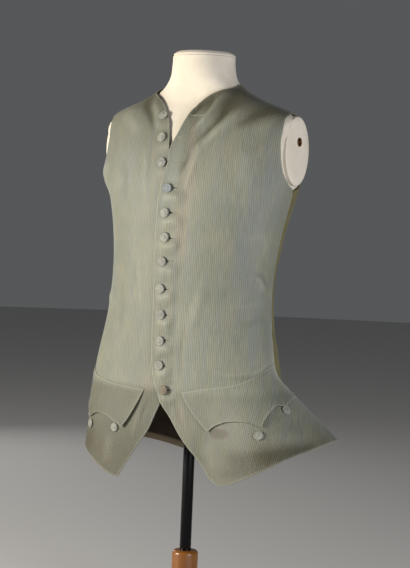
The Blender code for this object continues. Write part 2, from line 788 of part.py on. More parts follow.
def build_arm_socket(name, side):
    """The brass cup let into the plate, open towards the outside."""
    cup_floor = PLATE_X - FORM_CLEARANCE + SEAM
    rim = PLATE_THICKNESS + 0.0009
    profile = [
        (SOCKET_RADIUS * 0.5, 0.0),
        (SOCKET_RADIUS, 0.0),
        (SOCKET_RADIUS, rim - 0.0005),
        (SOCKET_RADIUS - 0.0008, rim),
        (SOCKET_BORE + 0.0006, rim),
        (SOCKET_BORE, rim - 0.0007),
        (SOCKET_BORE, 0.0008),
        (SOCKET_BORE * 0.5, 0.0008),
    ]
    socket_y, socket_z = SOCKET_CENTRE
    turn = Matrix.Rotation(math.radians(90 * side), 4, "Y")
    place = Matrix.Translation((side * cup_floor, socket_y, socket_z)) @ turn
    turned(name, profile, 16, BRASS, place)


def build_stand():
    """The enamelled rod, the turned wooden socket that takes it, and the round base."""
    rod_bottom, rod_top = COLUMN_TOP + SEAM, FORM_BOTTOM - SEAM
    turned("stand_rod", [(ROD_RADIUS, rod_bottom), (ROD_RADIUS, rod_top)], 24, BLACK_ENAMEL)
    foot = BASE_HEIGHT + SEAM
    column = [
        (0.046, foot),
        (0.046, foot + 0.006),
        (0.040, foot + 0.012),
        (0.029, foot + 0.022),
        (COLUMN_RADIUS, foot + 0.036),
        (COLUMN_RADIUS, COLUMN_TOP - 0.004),
        (COLUMN_RADIUS - 0.001, COLUMN_TOP - 0.001),
        (COLUMN_RADIUS - 0.003, COLUMN_TOP),
    ]
    turned("stand_column", column, ROUND_SIDES, BEECH)
    base = [
        (BASE_RADIUS - 0.002, 0.0),
        (BASE_RADIUS, 0.002),
        (BASE_RADIUS, BASE_HEIGHT - 0.010),
        (BASE_RADIUS - 0.003, BASE_HEIGHT - 0.004),
        (BASE_RADIUS - 0.010, BASE_HEIGHT),
    ]
    turned("stand_base", base, ROUND_SIDES, BEECH)


def main():
    for old in list(bpy.data.objects):
        bpy.data.objects.remove(old, do_unlink=True)
    build_stand()
    build_form()
    for side, word in ((1, "left"), (-1, "right")):
        build_arm_plate(f"arm_plate_{word}", side)
        build_arm_socket(f"arm_socket_{word}", side)
    build_cloth()
    build_buttons()


main()
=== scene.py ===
# The looks of a sleeveless silk waistcoat of the later eighteenth century on a limbless dress form.
# Each cloth piece is a thin shell laid on its solid's own form, with creases, turned edges and stitches.
# Units are metres and degrees. +Z is up, the front faces -Y, the wearer's left is +X. A bearing is 0 at
# the centre front, positive towards the wearer's left, and 180 at the centre back.

import math
from collections import namedtuple

import bmesh
import bpy
import numpy as np
from mathutils import Matrix, Vector


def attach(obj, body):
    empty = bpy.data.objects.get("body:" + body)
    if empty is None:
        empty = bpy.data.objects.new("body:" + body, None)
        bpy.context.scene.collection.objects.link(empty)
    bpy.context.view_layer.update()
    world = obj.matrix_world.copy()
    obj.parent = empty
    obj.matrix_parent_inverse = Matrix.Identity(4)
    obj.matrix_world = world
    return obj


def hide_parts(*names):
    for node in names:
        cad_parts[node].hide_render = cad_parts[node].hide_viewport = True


# Driving sizes of the cloth
WALL = 0.0020
CLOTH_GAP = 0.0008
FACE = CLOTH_GAP + WALL
SEAM = 0.0003
OVERLAP_RISE = 0.0028
OVERLAP_FULL = 9.0
OVERLAP_END = 22.0
HIP_HEIGHT = 0.485
HIP_BEND = 0.030
FLAP_WALL = 0.0016
FLAP_SEAT = 0.0009

# Driving sizes of the buttons
BUTTON_RADIUS = 0.0094
BUTTON_HEIGHT = 0.0040
POCKET_BUTTON_RADIUS = 0.0086

# Driving sizes of the form and its stand
FORM_CLEARANCE = 0.0014
RIDGE_CLEARANCE = 0.0010
RIDGE_HEIGHT = 0.986
RIDGE_SPREAD = 0.024
FORM_BOTTOM = 0.430
NECK_TOP = 1.056
NECK_CAP_HEIGHT = 0.012
PLATE_X = 0.202
PLATE_HALF_WIDTH = 0.042
PLATE_HALF_HEIGHT = 0.062
PLATE_CENTRE = (0.014, 0.883)
PLATE_THICKNESS = 0.0030
SOCKET_CENTRE = (0.0157, 0.900)
SOCKET_RADIUS = 0.0082
SOCKET_BORE = 0.0052
ROD_RADIUS = 0.011
COLUMN_RADIUS = 0.025
COLUMN_TOP = 0.118
BASE_RADIUS = 0.170
BASE_HEIGHT = 0.026


def rows_of(kind, *rows):
    """A table's rows, with the columns named as the kind says."""
    return [kind(*row) for row in rows]


Section = namedtuple("Section", "height half_width centre_y front back power")
SECTIONS = rows_of(
    Section,
    (0.380, 0.2000, -0.034, 0.105, 0.116, 2.20), (0.440, 0.1940, -0.035, 0.108, 0.115, 2.20),
    (0.500, 0.1820, -0.032, 0.109, 0.109, 2.20), (0.560, 0.1700, -0.026, 0.110, 0.100, 2.15),
    (0.620, 0.1655, -0.018, 0.110, 0.097, 2.10), (0.680, 0.1670, -0.009, 0.109, 0.103, 2.15),
    (0.740, 0.1760, -0.001, 0.106, 0.113, 2.20), (0.800, 0.1900, 0.006, 0.101, 0.122, 2.30),
    (0.850, 0.2030, 0.007, 0.094, 0.124, 2.30), (0.900, 0.2110, 0.008, 0.083, 0.116, 2.30),
    (0.935, 0.2080, 0.006, 0.070, 0.101, 2.30), (0.955, 0.1820, 0.001, 0.060, 0.088, 2.20),
    (0.975, 0.1300, -0.003, 0.051, 0.075, 2.10), (0.995, 0.0900, -0.003, 0.050, 0.066, 2.05),
    (1.015, 0.0700, -0.002, 0.054, 0.060, 2.00), (1.040, 0.0620, -0.001, 0.060, 0.057, 2.00),
    (1.070, 0.0610, 0.000, 0.061, 0.058, 2.00),
)

# How far each skirt leans out from the vertical, by bearing
Lean = namedtuple("Lean", "bearing degrees")
LEAN_LEFT = rows_of(
    Lean,
    (-20, 1), (20, 1), (45, 2), (60, 4), (70, 12), (80, 27), (90, 42), (98, 48), (104, 49),
)
LEAN_RIGHT = rows_of(
    Lean,
    (-104, 12), (-98, 12), (-84, 6), (-72, 4), (-60, 3), (-45, 2), (-20, 1), (20, 1),
)
LEAN_BACK = [Lean(90, 9), Lean(105, 8), Lean(135, 8), Lean(180, 8)]

# A point on a piece's edge: the row of the mesh, the bearing, and the height up the pattern
Edge = namedtuple("Edge", "row bearing height")
ROWS = 29
SIDE_EDGE = rows_of(
    Edge,
    (0, 99.4, 0.307), (2, 99.2, 0.357), (4, 98.8, 0.413), (6, 98.0, 0.456), (7, 97.6, 0.471),
    (8, 97.6, 0.488), (9, 98.2, 0.515), (10, 99.0, 0.545), (11, 99.4, 0.580), (12, 98.4, 0.617),
    (13, 97.7, 0.655), (14, 97.2, 0.692), (15, 95.8, 0.731), (16, 94.6, 0.771), (17, 92.0, 0.809),
    (18, 85.6, 0.8205), (19, 80.6, 0.838), (20, 77.6, 0.866), (21, 76.8, 0.892), (22, 77.6, 0.913),
    (23, 78.4, 0.926), (24, 80.2, 0.9355), (25, 82.8, 0.9425), (26, 85.7, 0.947), (27, 89.0, 0.9505),
    (28, 92.5, 0.9525), (29, 96.0, 0.953),
)
RIGHT_SIDE_EDGE = [
    *SIDE_EDGE[:15],
    *rows_of(
        Edge,
        (18, 84.5, 0.820), (19, 78.5, 0.838), (20, 74.2, 0.866), (21, 72.4, 0.890), (22, 72.8, 0.910),
        (23, 73.8, 0.925), (24, 76.2, 0.9355), (25, 79.6, 0.9425), (26, 83.4, 0.947),
        (27, 87.4, 0.9505), (28, 91.6, 0.9525), (29, 96.0, 0.953),
    ),
]
BACK_SIDE_EDGE = [
    *rows_of(
        Edge,
        (0, 104.0, 0.316), (2, 103.0, 0.362), (4, 101.2, 0.416), (6, 99.2, 0.456), (7, 98.2, 0.471),
    ),
    *SIDE_EDGE[5:14],
    *rows_of(
        Edge,
        (17, 93.4, 0.8085), (18, 98.6, 0.813), (19, 103.6, 0.829), (20, 107.0, 0.855),
        (21, 108.2, 0.881), (22, 108.0, 0.901), (23, 107.0, 0.917), (24, 105.8, 0.929),
        (25, 104.4, 0.938), (26, 102.7, 0.945), (27, 100.7, 0.9495), (28, 98.4, 0.952),
        (29, 96.0, 0.953),
    ),
]
LEFT_FRONT_EDGE = rows_of(
    Edge,
    (0, 65.8, 0.272), (1, 60.2, 0.283), (2, 50.8, 0.315), (3, 34.1, 0.351), (4, 18.4, 0.3865),
    (5, 4.3, 0.412), (6, -1.5, 0.430), (7, -8.6, 0.452), (8, -11.9, 0.481), (9, -12.9, 0.512),
    (12, -11.5, 0.600), (15, -11.2, 0.705), (17, -10.9, 0.785), (18, -8.8, 0.820), (19, -5.2, 0.852),
    (20, -5.2, 0.880), (21, 1.0, 0.908), (22, 7.0, 0.932), (23, 14.5, 0.951), (24, 24.5, 0.9640),
    (25, 36.5, 0.9750), (26, 49.5, 0.9852), (27, 63.5, 0.9925), (28, 79.5, 0.9995), (29, 96.0, 1.007),
)
RIGHT_FRONT_EDGE = rows_of(
    Edge,
    (0, -49.6, 0.2625), (1, -38.9, 0.2985), (2, -27.4, 0.3305), (3, -14.4, 0.3585), (4, -3.6, 0.391),
    (5, 4.1, 0.4135), (6, 5.8, 0.434), (7, 6.8, 0.456), (9, 7.4, 0.512), (12, 7.2, 0.600),
    (15, 6.6, 0.705), (17, 6.0, 0.785), (18, 3.8, 0.820), (19, -0.5, 0.850), (20, -6.0, 0.878),
    (21, -10.0, 0.903), (22, -16.0, 0.928), (23, -24.0, 0.943), (24, -34.0, 0.9555),
    (25, -45.0, 0.9665), (26, -56.5, 0.9770), (27, -69.0, 0.9870), (28, -82.5, 0.9965),
    (29, -96.0, 1.007),
)
CENTRE_BACK_EDGE = rows_of(
    Edge,
    (0, 180.0, 0.270), (4, 180.0, 0.397), (8, 180.0, 0.490), (16, 180.0, 0.762), (20, 180.0, 0.870),
    (23, 180.0, 0.925), (26, 180.0, 0.962), (29, 180.0, 0.986),
)

# A point on a hem, a neck or a pocket flap: the share of the way along, the bearing, and the height
Along = namedtuple("Along", "share bearing height")
LEFT_HEM = rows_of(
    Along,
    (0.00, 65.8, 0.272), (0.10, 70.5, 0.276), (0.24, 75.4, 0.285), (0.40, 80.1, 0.297),
    (0.55, 84.1, 0.308), (0.72, 88.2, 0.3125), (0.91, 95.7, 0.309), (1.00, 99.4, 0.307),
)
RIGHT_HEM = rows_of(
    Along,
    (0.00, -49.6, 0.2625), (0.18, -57.5, 0.2655), (0.36, -66.1, 0.277), (0.52, -73.5, 0.290),
    (0.66, -80.0, 0.3005), (0.82, -89.0, 0.3065), (1.00, -99.4, 0.307),
)
LEFT_FLAP_TOP = rows_of(
    Along,
    (0.00, 32.5, 0.434), (0.18, 43.5, 0.4387), (0.36, 54.5, 0.4448), (0.54, 65.1, 0.4512),
    (0.68, 73.4, 0.459), (0.80, 80.3, 0.472), (0.90, 88.0, 0.485), (1.00, 97.2, 0.4915),
)
LEFT_FLAP_HEM = rows_of(
    Along,
    (0.000, 57.8, 0.3671), (0.090, 61.3, 0.3772), (0.180, 65.7, 0.3847), (0.270, 69.0, 0.3876),
    (0.360, 72.6, 0.3882), (0.450, 76.6, 0.3850), (0.545, 80.2, 0.3739), (0.620, 81.5, 0.3890),
    (0.695, 83.2, 0.4009), (0.770, 85.1, 0.4085), (0.845, 87.2, 0.4031), (0.900, 89.7, 0.4099),
    (0.950, 94.0, 0.4148), (1.000, 98.0, 0.4150),
)
RIGHT_FLAP_TOP = rows_of(
    Along,
    (0.00, -22.6, 0.432), (0.18, -35.4, 0.4333), (0.36, -46.6, 0.4348), (0.54, -58.5, 0.4368),
    (0.68, -67.5, 0.4412), (0.80, -76.5, 0.4475), (0.90, -86.5, 0.466), (1.00, -97.2, 0.487),
)
RIGHT_FLAP_HEM = rows_of(
    Along,
    (0.000, -46.6, 0.3565), (0.090, -51.7, 0.3625), (0.180, -56.0, 0.3672), (0.270, -60.7, 0.3734),
    (0.360, -65.8, 0.3762), (0.450, -71.0, 0.3744), (0.545, -77.0, 0.3630), (0.620, -79.0, 0.3740),
    (0.695, -81.5, 0.3835), (0.770, -84.8, 0.3870), (0.845, -88.4, 0.3760), (0.900, -90.8, 0.3850),
    (0.950, -94.4, 0.3900), (1.000, -98.0, 0.3905),
)

# The twelve buttons down the front: distance from the centre line, and height
Button = namedtuple("Button", "x height")
RIGHT_NECK_BUTTONS = [Button(-0.0410, 0.943), Button(-0.0315, 0.901), Button(-0.0222, 0.854)]
CLOSED_BUTTONS = rows_of(
    Button,
    (-0.0010, 0.806), (-0.0020, 0.761), (0.0015, 0.716), (-0.0010, 0.671), (-0.0020, 0.621),
    (0.0010, 0.574), (0.0010, 0.525), (0.0010, 0.480), (0.0120, 0.435),
)
# The pocket buttons: bearing and pattern height; the left pocket has lost its first one
PocketButton = namedtuple("PocketButton", "name bearing height")
POCKET_BUTTONS = rows_of(
    PocketButton,
    ("pocket_button_left_2", 79.2, 0.3600), ("pocket_button_left_3", 87.6, 0.3990),
    ("pocket_button_right_1", -54.5, 0.3540), ("pocket_button_right_2", -76.0, 0.3510),
    ("pocket_button_right_3", -88.4, 0.3640),
)

# Driving sizes of the shells that dress the solids
SHELL = 0.0014
FLAP_SHELL = 0.0012
FACING = 0.0011
EDGE_ROUND = 0.0012
SPAN_PER_DEGREE = 0.0030
FACING_WIDTH = 0.010
FACING_FADE = 0.004

# How each kind of panel is laid: its shell, its mesh spacing, and the row and column measured for it
Make = namedtuple("Make", "thickness facing spacing row column")
FRONT_MAKE = Make(SHELL, FACING, 0.0028, 0.4, 0.5)
BACK_MAKE = Make(SHELL, FACING, 0.0042, 0.5, 0.7)
FLAP_MAKE = Make(FLAP_SHELL, 0.0, 0.0018, 0.5, 0.2)

# Each piece's cut: the width and length of the cloth that holds it, and its own flat area, without turnings
Cut = namedtuple("Cut", "width length area")


def smooth_step(value):
    value = np.clip(value, 0.0, 1.0)
    return value * value * (3 - 2 * value)


def curve_through(rows, key):
    """Smooth curves through the columns of a table, as functions of its first column."""
    table = np.array([tuple(row) for row in rows], float)
    keys, values = table[:, 0], table[:, 1:]
    gaps = np.diff(keys)
    chords = np.diff(values, axis=0) / gaps[:, None]
    weight = (gaps[1:] / (gaps[1:] + gaps[:-1]))[:, None]
    inner = chords[:-1] * weight + chords[1:] * (1 - weight)
    slopes = np.vstack((chords[:1], inner, chords[-1:]))
    key = np.clip(np.asarray(key, float), keys[0], keys[-1])
    index = np.clip(np.searchsorted(keys, key, side="right") - 1, 0, len(keys) - 2)
    span = gaps[index][..., None]
    t = (key - keys[index])[..., None] / span
    value = (2 * t**3 - 3 * t**2 + 1) * values[index] + (3 * t**2 - 2 * t**3) * values[index + 1]
    value = value + (t**3 - 2 * t**2 + t) * span * slopes[index]
    value = value + (t**3 - t**2) * span * slopes[index + 1]
    return np.moveaxis(value, -1, 0)


def line_through(rows, key):
    """The same table joined by straight lines."""
    table = np.array([tuple(row) for row in rows], float)
    return np.array([np.interp(key, table[:, 0], column) for column in table[:, 1:].T])


def pointed_curve(rows, points, key):
    """A table joined by smooth curves that meet in sharp points at the given rows."""
    ends = [0, *points, len(rows) - 1]
    key = np.asarray(key, float)
    value = np.zeros((len(rows[0]) - 1, *key.shape))
    for first, last in zip(ends, ends[1:]):
        stretch = rows[first : last + 1]
        inside = (key >= stretch[0][0]) & (key <= stretch[-1][0])
        value = np.where(inside, curve_through(stretch, key), value)
    return value


def body_point(bearing, height, out):
    """Points of the body's surface at bearings and heights, moved out by a distance."""
    bearing, height, out = np.broadcast_arrays(bearing, height, out)
    half_width, centre_y, front, back, power = curve_through(SECTIONS, height)
    half_width, front, back = half_width + out, front + out, back + out
    across, ahead = np.sin(np.radians(bearing)), np.cos(np.radians(bearing))
    depth = np.where(ahead > 0, front + centre_y, back - centre_y)
    reach = (np.abs(across) / half_width) ** power + (np.abs(ahead) / depth) ** power
    radius = reach ** (-1 / power)
    radius = radius * np.minimum(1.0, (PLATE_X + out) / np.maximum(np.abs(radius * across), 1e-9))
    return np.stack((radius * across, centre_y - radius * ahead, height), axis=-1)


def hip_frame(bearing, out):
    """Where the cloth leaves the body, the level direction out of it, and the body's lean there."""
    step = 0.05
    rise = 0.001
    hip = body_point(bearing, HIP_HEIGHT, out)
    along = body_point(bearing + step, HIP_HEIGHT, out) - body_point(bearing - step, HIP_HEIGHT, out)
    outward = np.stack((along[..., 1], -along[..., 0], np.zeros(along.shape[:-1])), axis=-1)
    outward = outward / np.linalg.norm(outward, axis=-1, keepdims=True)
    climb = body_point(bearing, HIP_HEIGHT + rise, out) - body_point(bearing, HIP_HEIGHT - rise, out)
    return hip, outward, np.arctan(-(climb * outward).sum(axis=-1) / (2 * rise))


def face_point(bearing, height, leans):
    """Points of the cloth's face: on the body above the hip, and hanging at full length below."""
    on_body = body_point(bearing, np.maximum(height, HIP_HEIGHT), FACE)
    hip, outward, lean_start = hip_frame(bearing, FACE)
    lean_end = np.radians(curve_through(leans, bearing)[0])
    length = np.maximum(HIP_HEIGHT - height, 0)
    bent = np.minimum(length, HIP_BEND)
    turn = (lean_end - lean_start) / HIP_BEND
    turn = np.where(np.abs(turn) < 1e-4, 1e-4, turn)
    lean = lean_start + turn * bent
    away = (np.cos(lean_start) - np.cos(lean)) / turn + np.sin(lean_end) * (length - bent)
    down = (np.sin(lean) - np.sin(lean_start)) / turn + np.cos(lean_end) * (length - bent)
    hanging = hip + outward * away[..., None]
    hanging[..., 2] -= down
    return np.where((height >= HIP_HEIGHT)[..., None], on_body, hanging)


def cloth_frame(bearing, height, leans):
    """Points of the cloth's face, and the directions straight out of it."""
    turn, climb = 0.05, 0.0005
    bearing, height = np.broadcast_arrays(bearing, height)
    face = face_point(bearing, height, leans)
    along = face_point(bearing + turn, height, leans) - face_point(bearing - turn, height, leans)
    upward = face_point(bearing, height + climb, leans) - face_point(bearing, height - climb, leans)
    out = np.cross(along, upward)
    return face, out / np.linalg.norm(out, axis=-1, keepdims=True)


def cloth_point(bearing, height, out, leans):
    """Points at a distance out from the body, counted square to the cloth's face."""
    face, outward = cloth_frame(bearing, height, leans)
    return face + outward * (np.asarray(out) - FACE)[..., None]


def overlap_rise(bearing):
    """How far the left front rises to pass over the right front's edge."""
    return OVERLAP_RISE * (1 - smooth_step((bearing - OVERLAP_FULL) / (OVERLAP_END - OVERLAP_FULL)))


def four_sided(left, right, bottom, top, across, up):
    """Points of a flat patch with four curved sides, each given as a function of its share."""
    value = (1 - up) * bottom(across) + up * top(across)
    value = value + (1 - across) * left(up) + across * right(up)
    corner = [np.reshape(side(np.array(end)), (2, 1, 1)) for side in (bottom, top) for end in (0.0, 1.0)]
    value = value - (1 - across) * (1 - up) * corner[0] - across * (1 - up) * corner[1]
    return value - (1 - across) * up * corner[2] - across * up * corner[3]


def bearing_of(x, height):
    """The bearing on the front of the body at a distance from the centre line."""
    _, centre_y, front, _, _ = curve_through(SECTIONS, height)
    return float(np.degrees(np.arctan2(x, front + centre_y)))


# A soft crease in a panel: its two ends, how far it bows sideways, its half width, and its depth,
# which is above nought for a ridge and below it for a trough
Fold = namedtuple("Fold", "bearing height to_bearing to_height bow width depth")
LEFT_FOLDS = rows_of(
    Fold,
    (84.0, 0.996, 12.0, 0.864, 0.006, 0.0058, -0.0024),
    (76.0, 0.997, 14.0, 0.902, 0.004, 0.0062, 0.0052),
    (46.0, 0.973, 8.0, 0.934, 0.002, 0.0040, -0.0018),
    (86.0, 0.974, 24.0, 0.872, 0.008, 0.0080, 0.0046),
    (86.0, 0.960, 50.0, 0.916, 0.004, 0.0080, -0.0020),
    (88.0, 0.950, 64.0, 0.912, 0.004, 0.0080, 0.0022),
    (34.0, 0.905, 17.0, 0.790, 0.003, 0.0110, 0.0026),
    (24.0, 0.880, 10.0, 0.826, 0.002, 0.0055, -0.0016),
    (60.0, 0.905, 66.0, 0.800, 0.004, 0.0140, 0.0016),
    (74.0, 0.900, 84.0, 0.790, -0.006, 0.0080, 0.0020),
    (78.6, 0.662, 92.0, 0.628, -0.003, 0.0045, -0.0022),
    (74.0, 0.658, 89.0, 0.618, -0.003, 0.0060, 0.0036),
    (96.0, 0.604, 60.0, 0.590, 0.004, 0.0090, 0.0018),
    (97.0, 0.575, 66.0, 0.560, 0.003, 0.0060, -0.0012),
    (90.0, 0.700, 64.0, 0.730, 0.004, 0.0120, 0.0018),
    (46.0, 0.660, 40.0, 0.520, 0.005, 0.0130, 0.0014),
    (30.0, 0.560, 34.0, 0.450, 0.003, 0.0090, -0.0010),
    (60.0, 0.4660, 97.0, 0.5020, 0.0125, 0.0030, -0.0013),
    (58.0, 0.4735, 98.0, 0.5105, 0.0125, 0.0044, 0.0017),
    (22.0, 0.424, 42.0, 0.356, 0.002, 0.0065, -0.0009),
    (30.0, 0.420, 50.0, 0.346, 0.003, 0.0090, 0.0011),
    (58.0, 0.355, 64.0, 0.280, 0.002, 0.0120, 0.0020),
    (72.0, 0.350, 76.0, 0.288, 0.002, 0.0100, -0.0015),
    (84.0, 0.372, 92.0, 0.313, 0.003, 0.0100, 0.0018),
)
RIGHT_FOLDS = rows_of(
    Fold,
    (-78.0, 0.985, -26.0, 0.905, -0.005, 0.0060, -0.0022),
    (-70.0, 0.986, -22.0, 0.918, -0.004, 0.0070, 0.0030),
    (-84.0, 0.972, -42.0, 0.900, -0.006, 0.0100, 0.0028),
    (-36.0, 0.900, -26.0, 0.780, -0.003, 0.0110, 0.0022),
    (-56.0, 0.880, -50.0, 0.760, -0.004, 0.0120, -0.0016),
    (-66.0, 0.870, -78.0, 0.780, 0.004, 0.0090, 0.0024),
    (-80.0, 0.668, -92.0, 0.634, 0.003, 0.0050, -0.0020),
    (-76.0, 0.660, -91.0, 0.622, 0.003, 0.0065, 0.0030),
    (-96.0, 0.600, -58.0, 0.586, -0.004, 0.0100, 0.0020),
    (-34.0, 0.720, -30.0, 0.540, -0.005, 0.0120, 0.0018),
    (-52.0, 0.660, -56.0, 0.500, 0.004, 0.0110, -0.0014),
    (-14.0, 0.425, -30.0, 0.360, -0.002, 0.0070, -0.0009),
    (-24.0, 0.410, -38.0, 0.330, -0.003, 0.0095, 0.0012),
    (-58.0, 0.345, -62.0, 0.272, -0.002, 0.0120, 0.0018),
    (-74.0, 0.350, -78.0, 0.298, -0.002, 0.0100, -0.0014),
)
BACK_FOLDS = rows_of(
    Fold,
    (112.0, 0.900, 150.0, 0.800, 0.006, 0.0130, 0.0030),
    (120.0, 0.845, 165.0, 0.770, 0.006, 0.0100, -0.0018),
    (140.0, 0.955, 126.0, 0.880, -0.005, 0.0100, 0.0026),
    (100.0, 0.700, 150.0, 0.655, 0.006, 0.0110, 0.0030),
    (100.0, 0.660, 145.0, 0.625, 0.005, 0.0080, -0.0020),
    (104.0, 0.610, 160.0, 0.600, -0.004, 0.0100, 0.0026),
    (172.0, 0.640, 150.0, 0.560, 0.004, 0.0080, -0.0018),
    (150.0, 0.470, 158.0, 0.290, 0.004, 0.0130, 0.0036),
    (126.0, 0.470, 124.0, 0.320, -0.003, 0.0120, 0.0034),
    (138.0, 0.450, 140.0, 0.300, 0.002, 0.0100, -0.0024),
)

# A soft round mark on a front: what it is, how strong, where, and how wide and tall
Spot = namedtuple("Spot", "mark amount bearing height wide tall")
LEFT_SPOTS = rows_of(
    Spot,
    ("soil", 0.75, 81, 0.318, 0.032, 0.015),
    ("soil", 0.40, 73, 0.294, 0.022, 0.012),
    ("soil", 0.30, 22, 0.925, 0.020, 0.030),
    ("tan", 0.50, 18, 0.735, 0.018, 0.085),
    ("tan", 0.80, 20, 0.911, 0.010, 0.022),
    ("tan", 0.40, 32, 0.385, 0.024, 0.030),
    ("tan", 0.50, 22, 0.850, 0.016, 0.050),
    ("blue", 0.90, 99, 0.460, 0.012, 0.160),
    ("blue", 0.28, 70, 0.760, 0.030, 0.090),
    ("blue", 0.50, 28, 0.935, 0.012, 0.030),
    ("pale", 0.50, 97, 0.475, 0.012, 0.050),
)
RIGHT_SPOTS = rows_of(
    Spot,
    ("soil", 0.70, -84, 0.310, 0.020, 0.022),
    ("tan", 0.50, -20, 0.430, 0.030, 0.020),
    ("tan", 0.35, -60, 0.300, 0.040, 0.030),
    ("blue", 0.50, -50, 0.850, 0.030, 0.050),
    ("pale", 0.50, -97, 0.475, 0.012, 0.050),
)

# A rounded place where the cloth stands off the form, as at the bottom of the right armhole
Swell = namedtuple("Swell", "bearing height radius lift")
RIGHT_SWELLS = [Swell(-80.0, 0.832, 0.026, 0.0095), Swell(-60.0, 0.985, 0.020, 0.0015)]
LEFT_SWELLS = [Swell(86.0, 0.822, 0.022, 0.0022), Swell(60.0, 0.990, 0.020, 0.0015)]


def fold_relief(folds, bearing, height):
    """How far a panel's creases raise or sink it."""
    relief = np.zeros(np.broadcast(bearing, height).shape)
    for fold in folds:
        span = np.array(((fold.to_bearing - fold.bearing) * SPAN_PER_DEGREE, fold.to_height - fold.height))
        length = np.hypot(*span)
        along_x, along_y = span / length
        x = (bearing - fold.bearing) * SPAN_PER_DEGREE
        y = height - fold.height
        share = (x * along_x + y * along_y) / length
        wander = 0.0012 * np.sin(share * 9 + fold.height * 50)
        across = x * along_y - y * along_x - fold.bow * 4 * share * (1 - share) - wander
        taper = smooth_step(share / 0.4) * smooth_step((1 - share) / 0.4)
        relief = relief + fold.depth * taper * np.exp(-((across / fold.width) ** 2))
    return relief


def swell_relief(swells, bearing, height):
    relief = 0.0
    for swell in swells:
        across = (bearing - swell.bearing) * SPAN_PER_DEGREE
        distance = np.hypot(across, height - swell.height)
        relief = relief + swell.lift * np.exp(-((distance / swell.radius) ** 2))
    return relief


def button_pulls(buttons, rise):
    """The creases round a row of fastened buttons: a drag at each hole and a soft puff below it."""
    folds = []
    for number, row in enumerate(buttons):
        uneven = math.sin(number * 2.3)
        bearing = bearing_of(row.x, row.height)
        start, end = bearing - 3.0, bearing + 17.0 + 3 * uneven
        drag = Fold(start, row.height, end, row.height + 0.003 * uneven, 0.001, 0.0034, -0.0013 * rise)
        above, below = row.height + 0.012, row.height - 0.016
        shade = Fold(start - 5, above, end + 3, above + 0.002, 0.002, 0.0065, -0.0013 * rise)
        puff = Fold(start - 6, below, end + 6, below + 0.004, 0.002, 0.0080, 0.0034 * rise)
        folds += [drag, shade, puff]
    return folds


def mesh_object(name, mesh_builder, finishes):
    """Turns a bmesh into a smooth named object that rides on the body, its faces outward."""
    bmesh.ops.recalc_face_normals(mesh_builder, faces=mesh_builder.faces)
    if mesh_builder.calc_volume(signed=True) < 0:
        bmesh.ops.reverse_faces(mesh_builder, faces=mesh_builder.faces)
    mesh = bpy.data.meshes.new(name)
    mesh_builder.to_mesh(mesh)
    mesh_builder.free()
    mesh.shade_smooth()
    for finish in finishes:
        mesh.materials.append(finish)
    piece = bpy.data.objects.new(name, mesh)
    bpy.context.scene.collection.objects.link(piece)
    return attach(piece, "root")


def edge_distance(points):
    """The distance along the cloth from each point of a grid to the nearest of its four edges."""
    across = np.linalg.norm(np.diff(points, axis=1), axis=2)
    up = np.linalg.norm(np.diff(points, axis=0), axis=2)
    from_left = np.pad(np.cumsum(across, axis=1), ((0, 0), (1, 0)))
    from_bottom = np.pad(np.cumsum(up, axis=0), ((1, 0), (0, 0)))
    sides = (from_left, from_left[:, -1:] - from_left, from_bottom, from_bottom[-1:] - from_bottom)
    return np.minimum.reduce(sides)


def shares_along(points, spacing, ends=(0.0, 1.0)):
    """Shares of a side at an even spacing, closer at its ends where the cloth's edge turns."""
    turned = np.array((0.00025, 0.0007, 0.0013, 0.0022))
    steps = np.linalg.norm(np.diff(points, axis=0), axis=1)
    length = np.concatenate(([0.0], np.cumsum(steps)))
    shares = np.linspace(0, 1, len(points))
    stops = np.interp(ends, shares, length)
    places = []
    for first, last in zip(stops, stops[1:]):
        count = max(2, round((last - first) / spacing))
        places += list(np.linspace(first, last, count + 1)[:-1])
    places += list(turned) + [length[-1]] + list(length[-1] - turned)
    places = sorted(place for place in places if 0 <= place <= length[-1])
    kept = [places[0]]
    for place in places[1:]:
        if place - kept[-1] > 0.00015:
            kept.append(place)
    return np.interp(kept, length, shares)


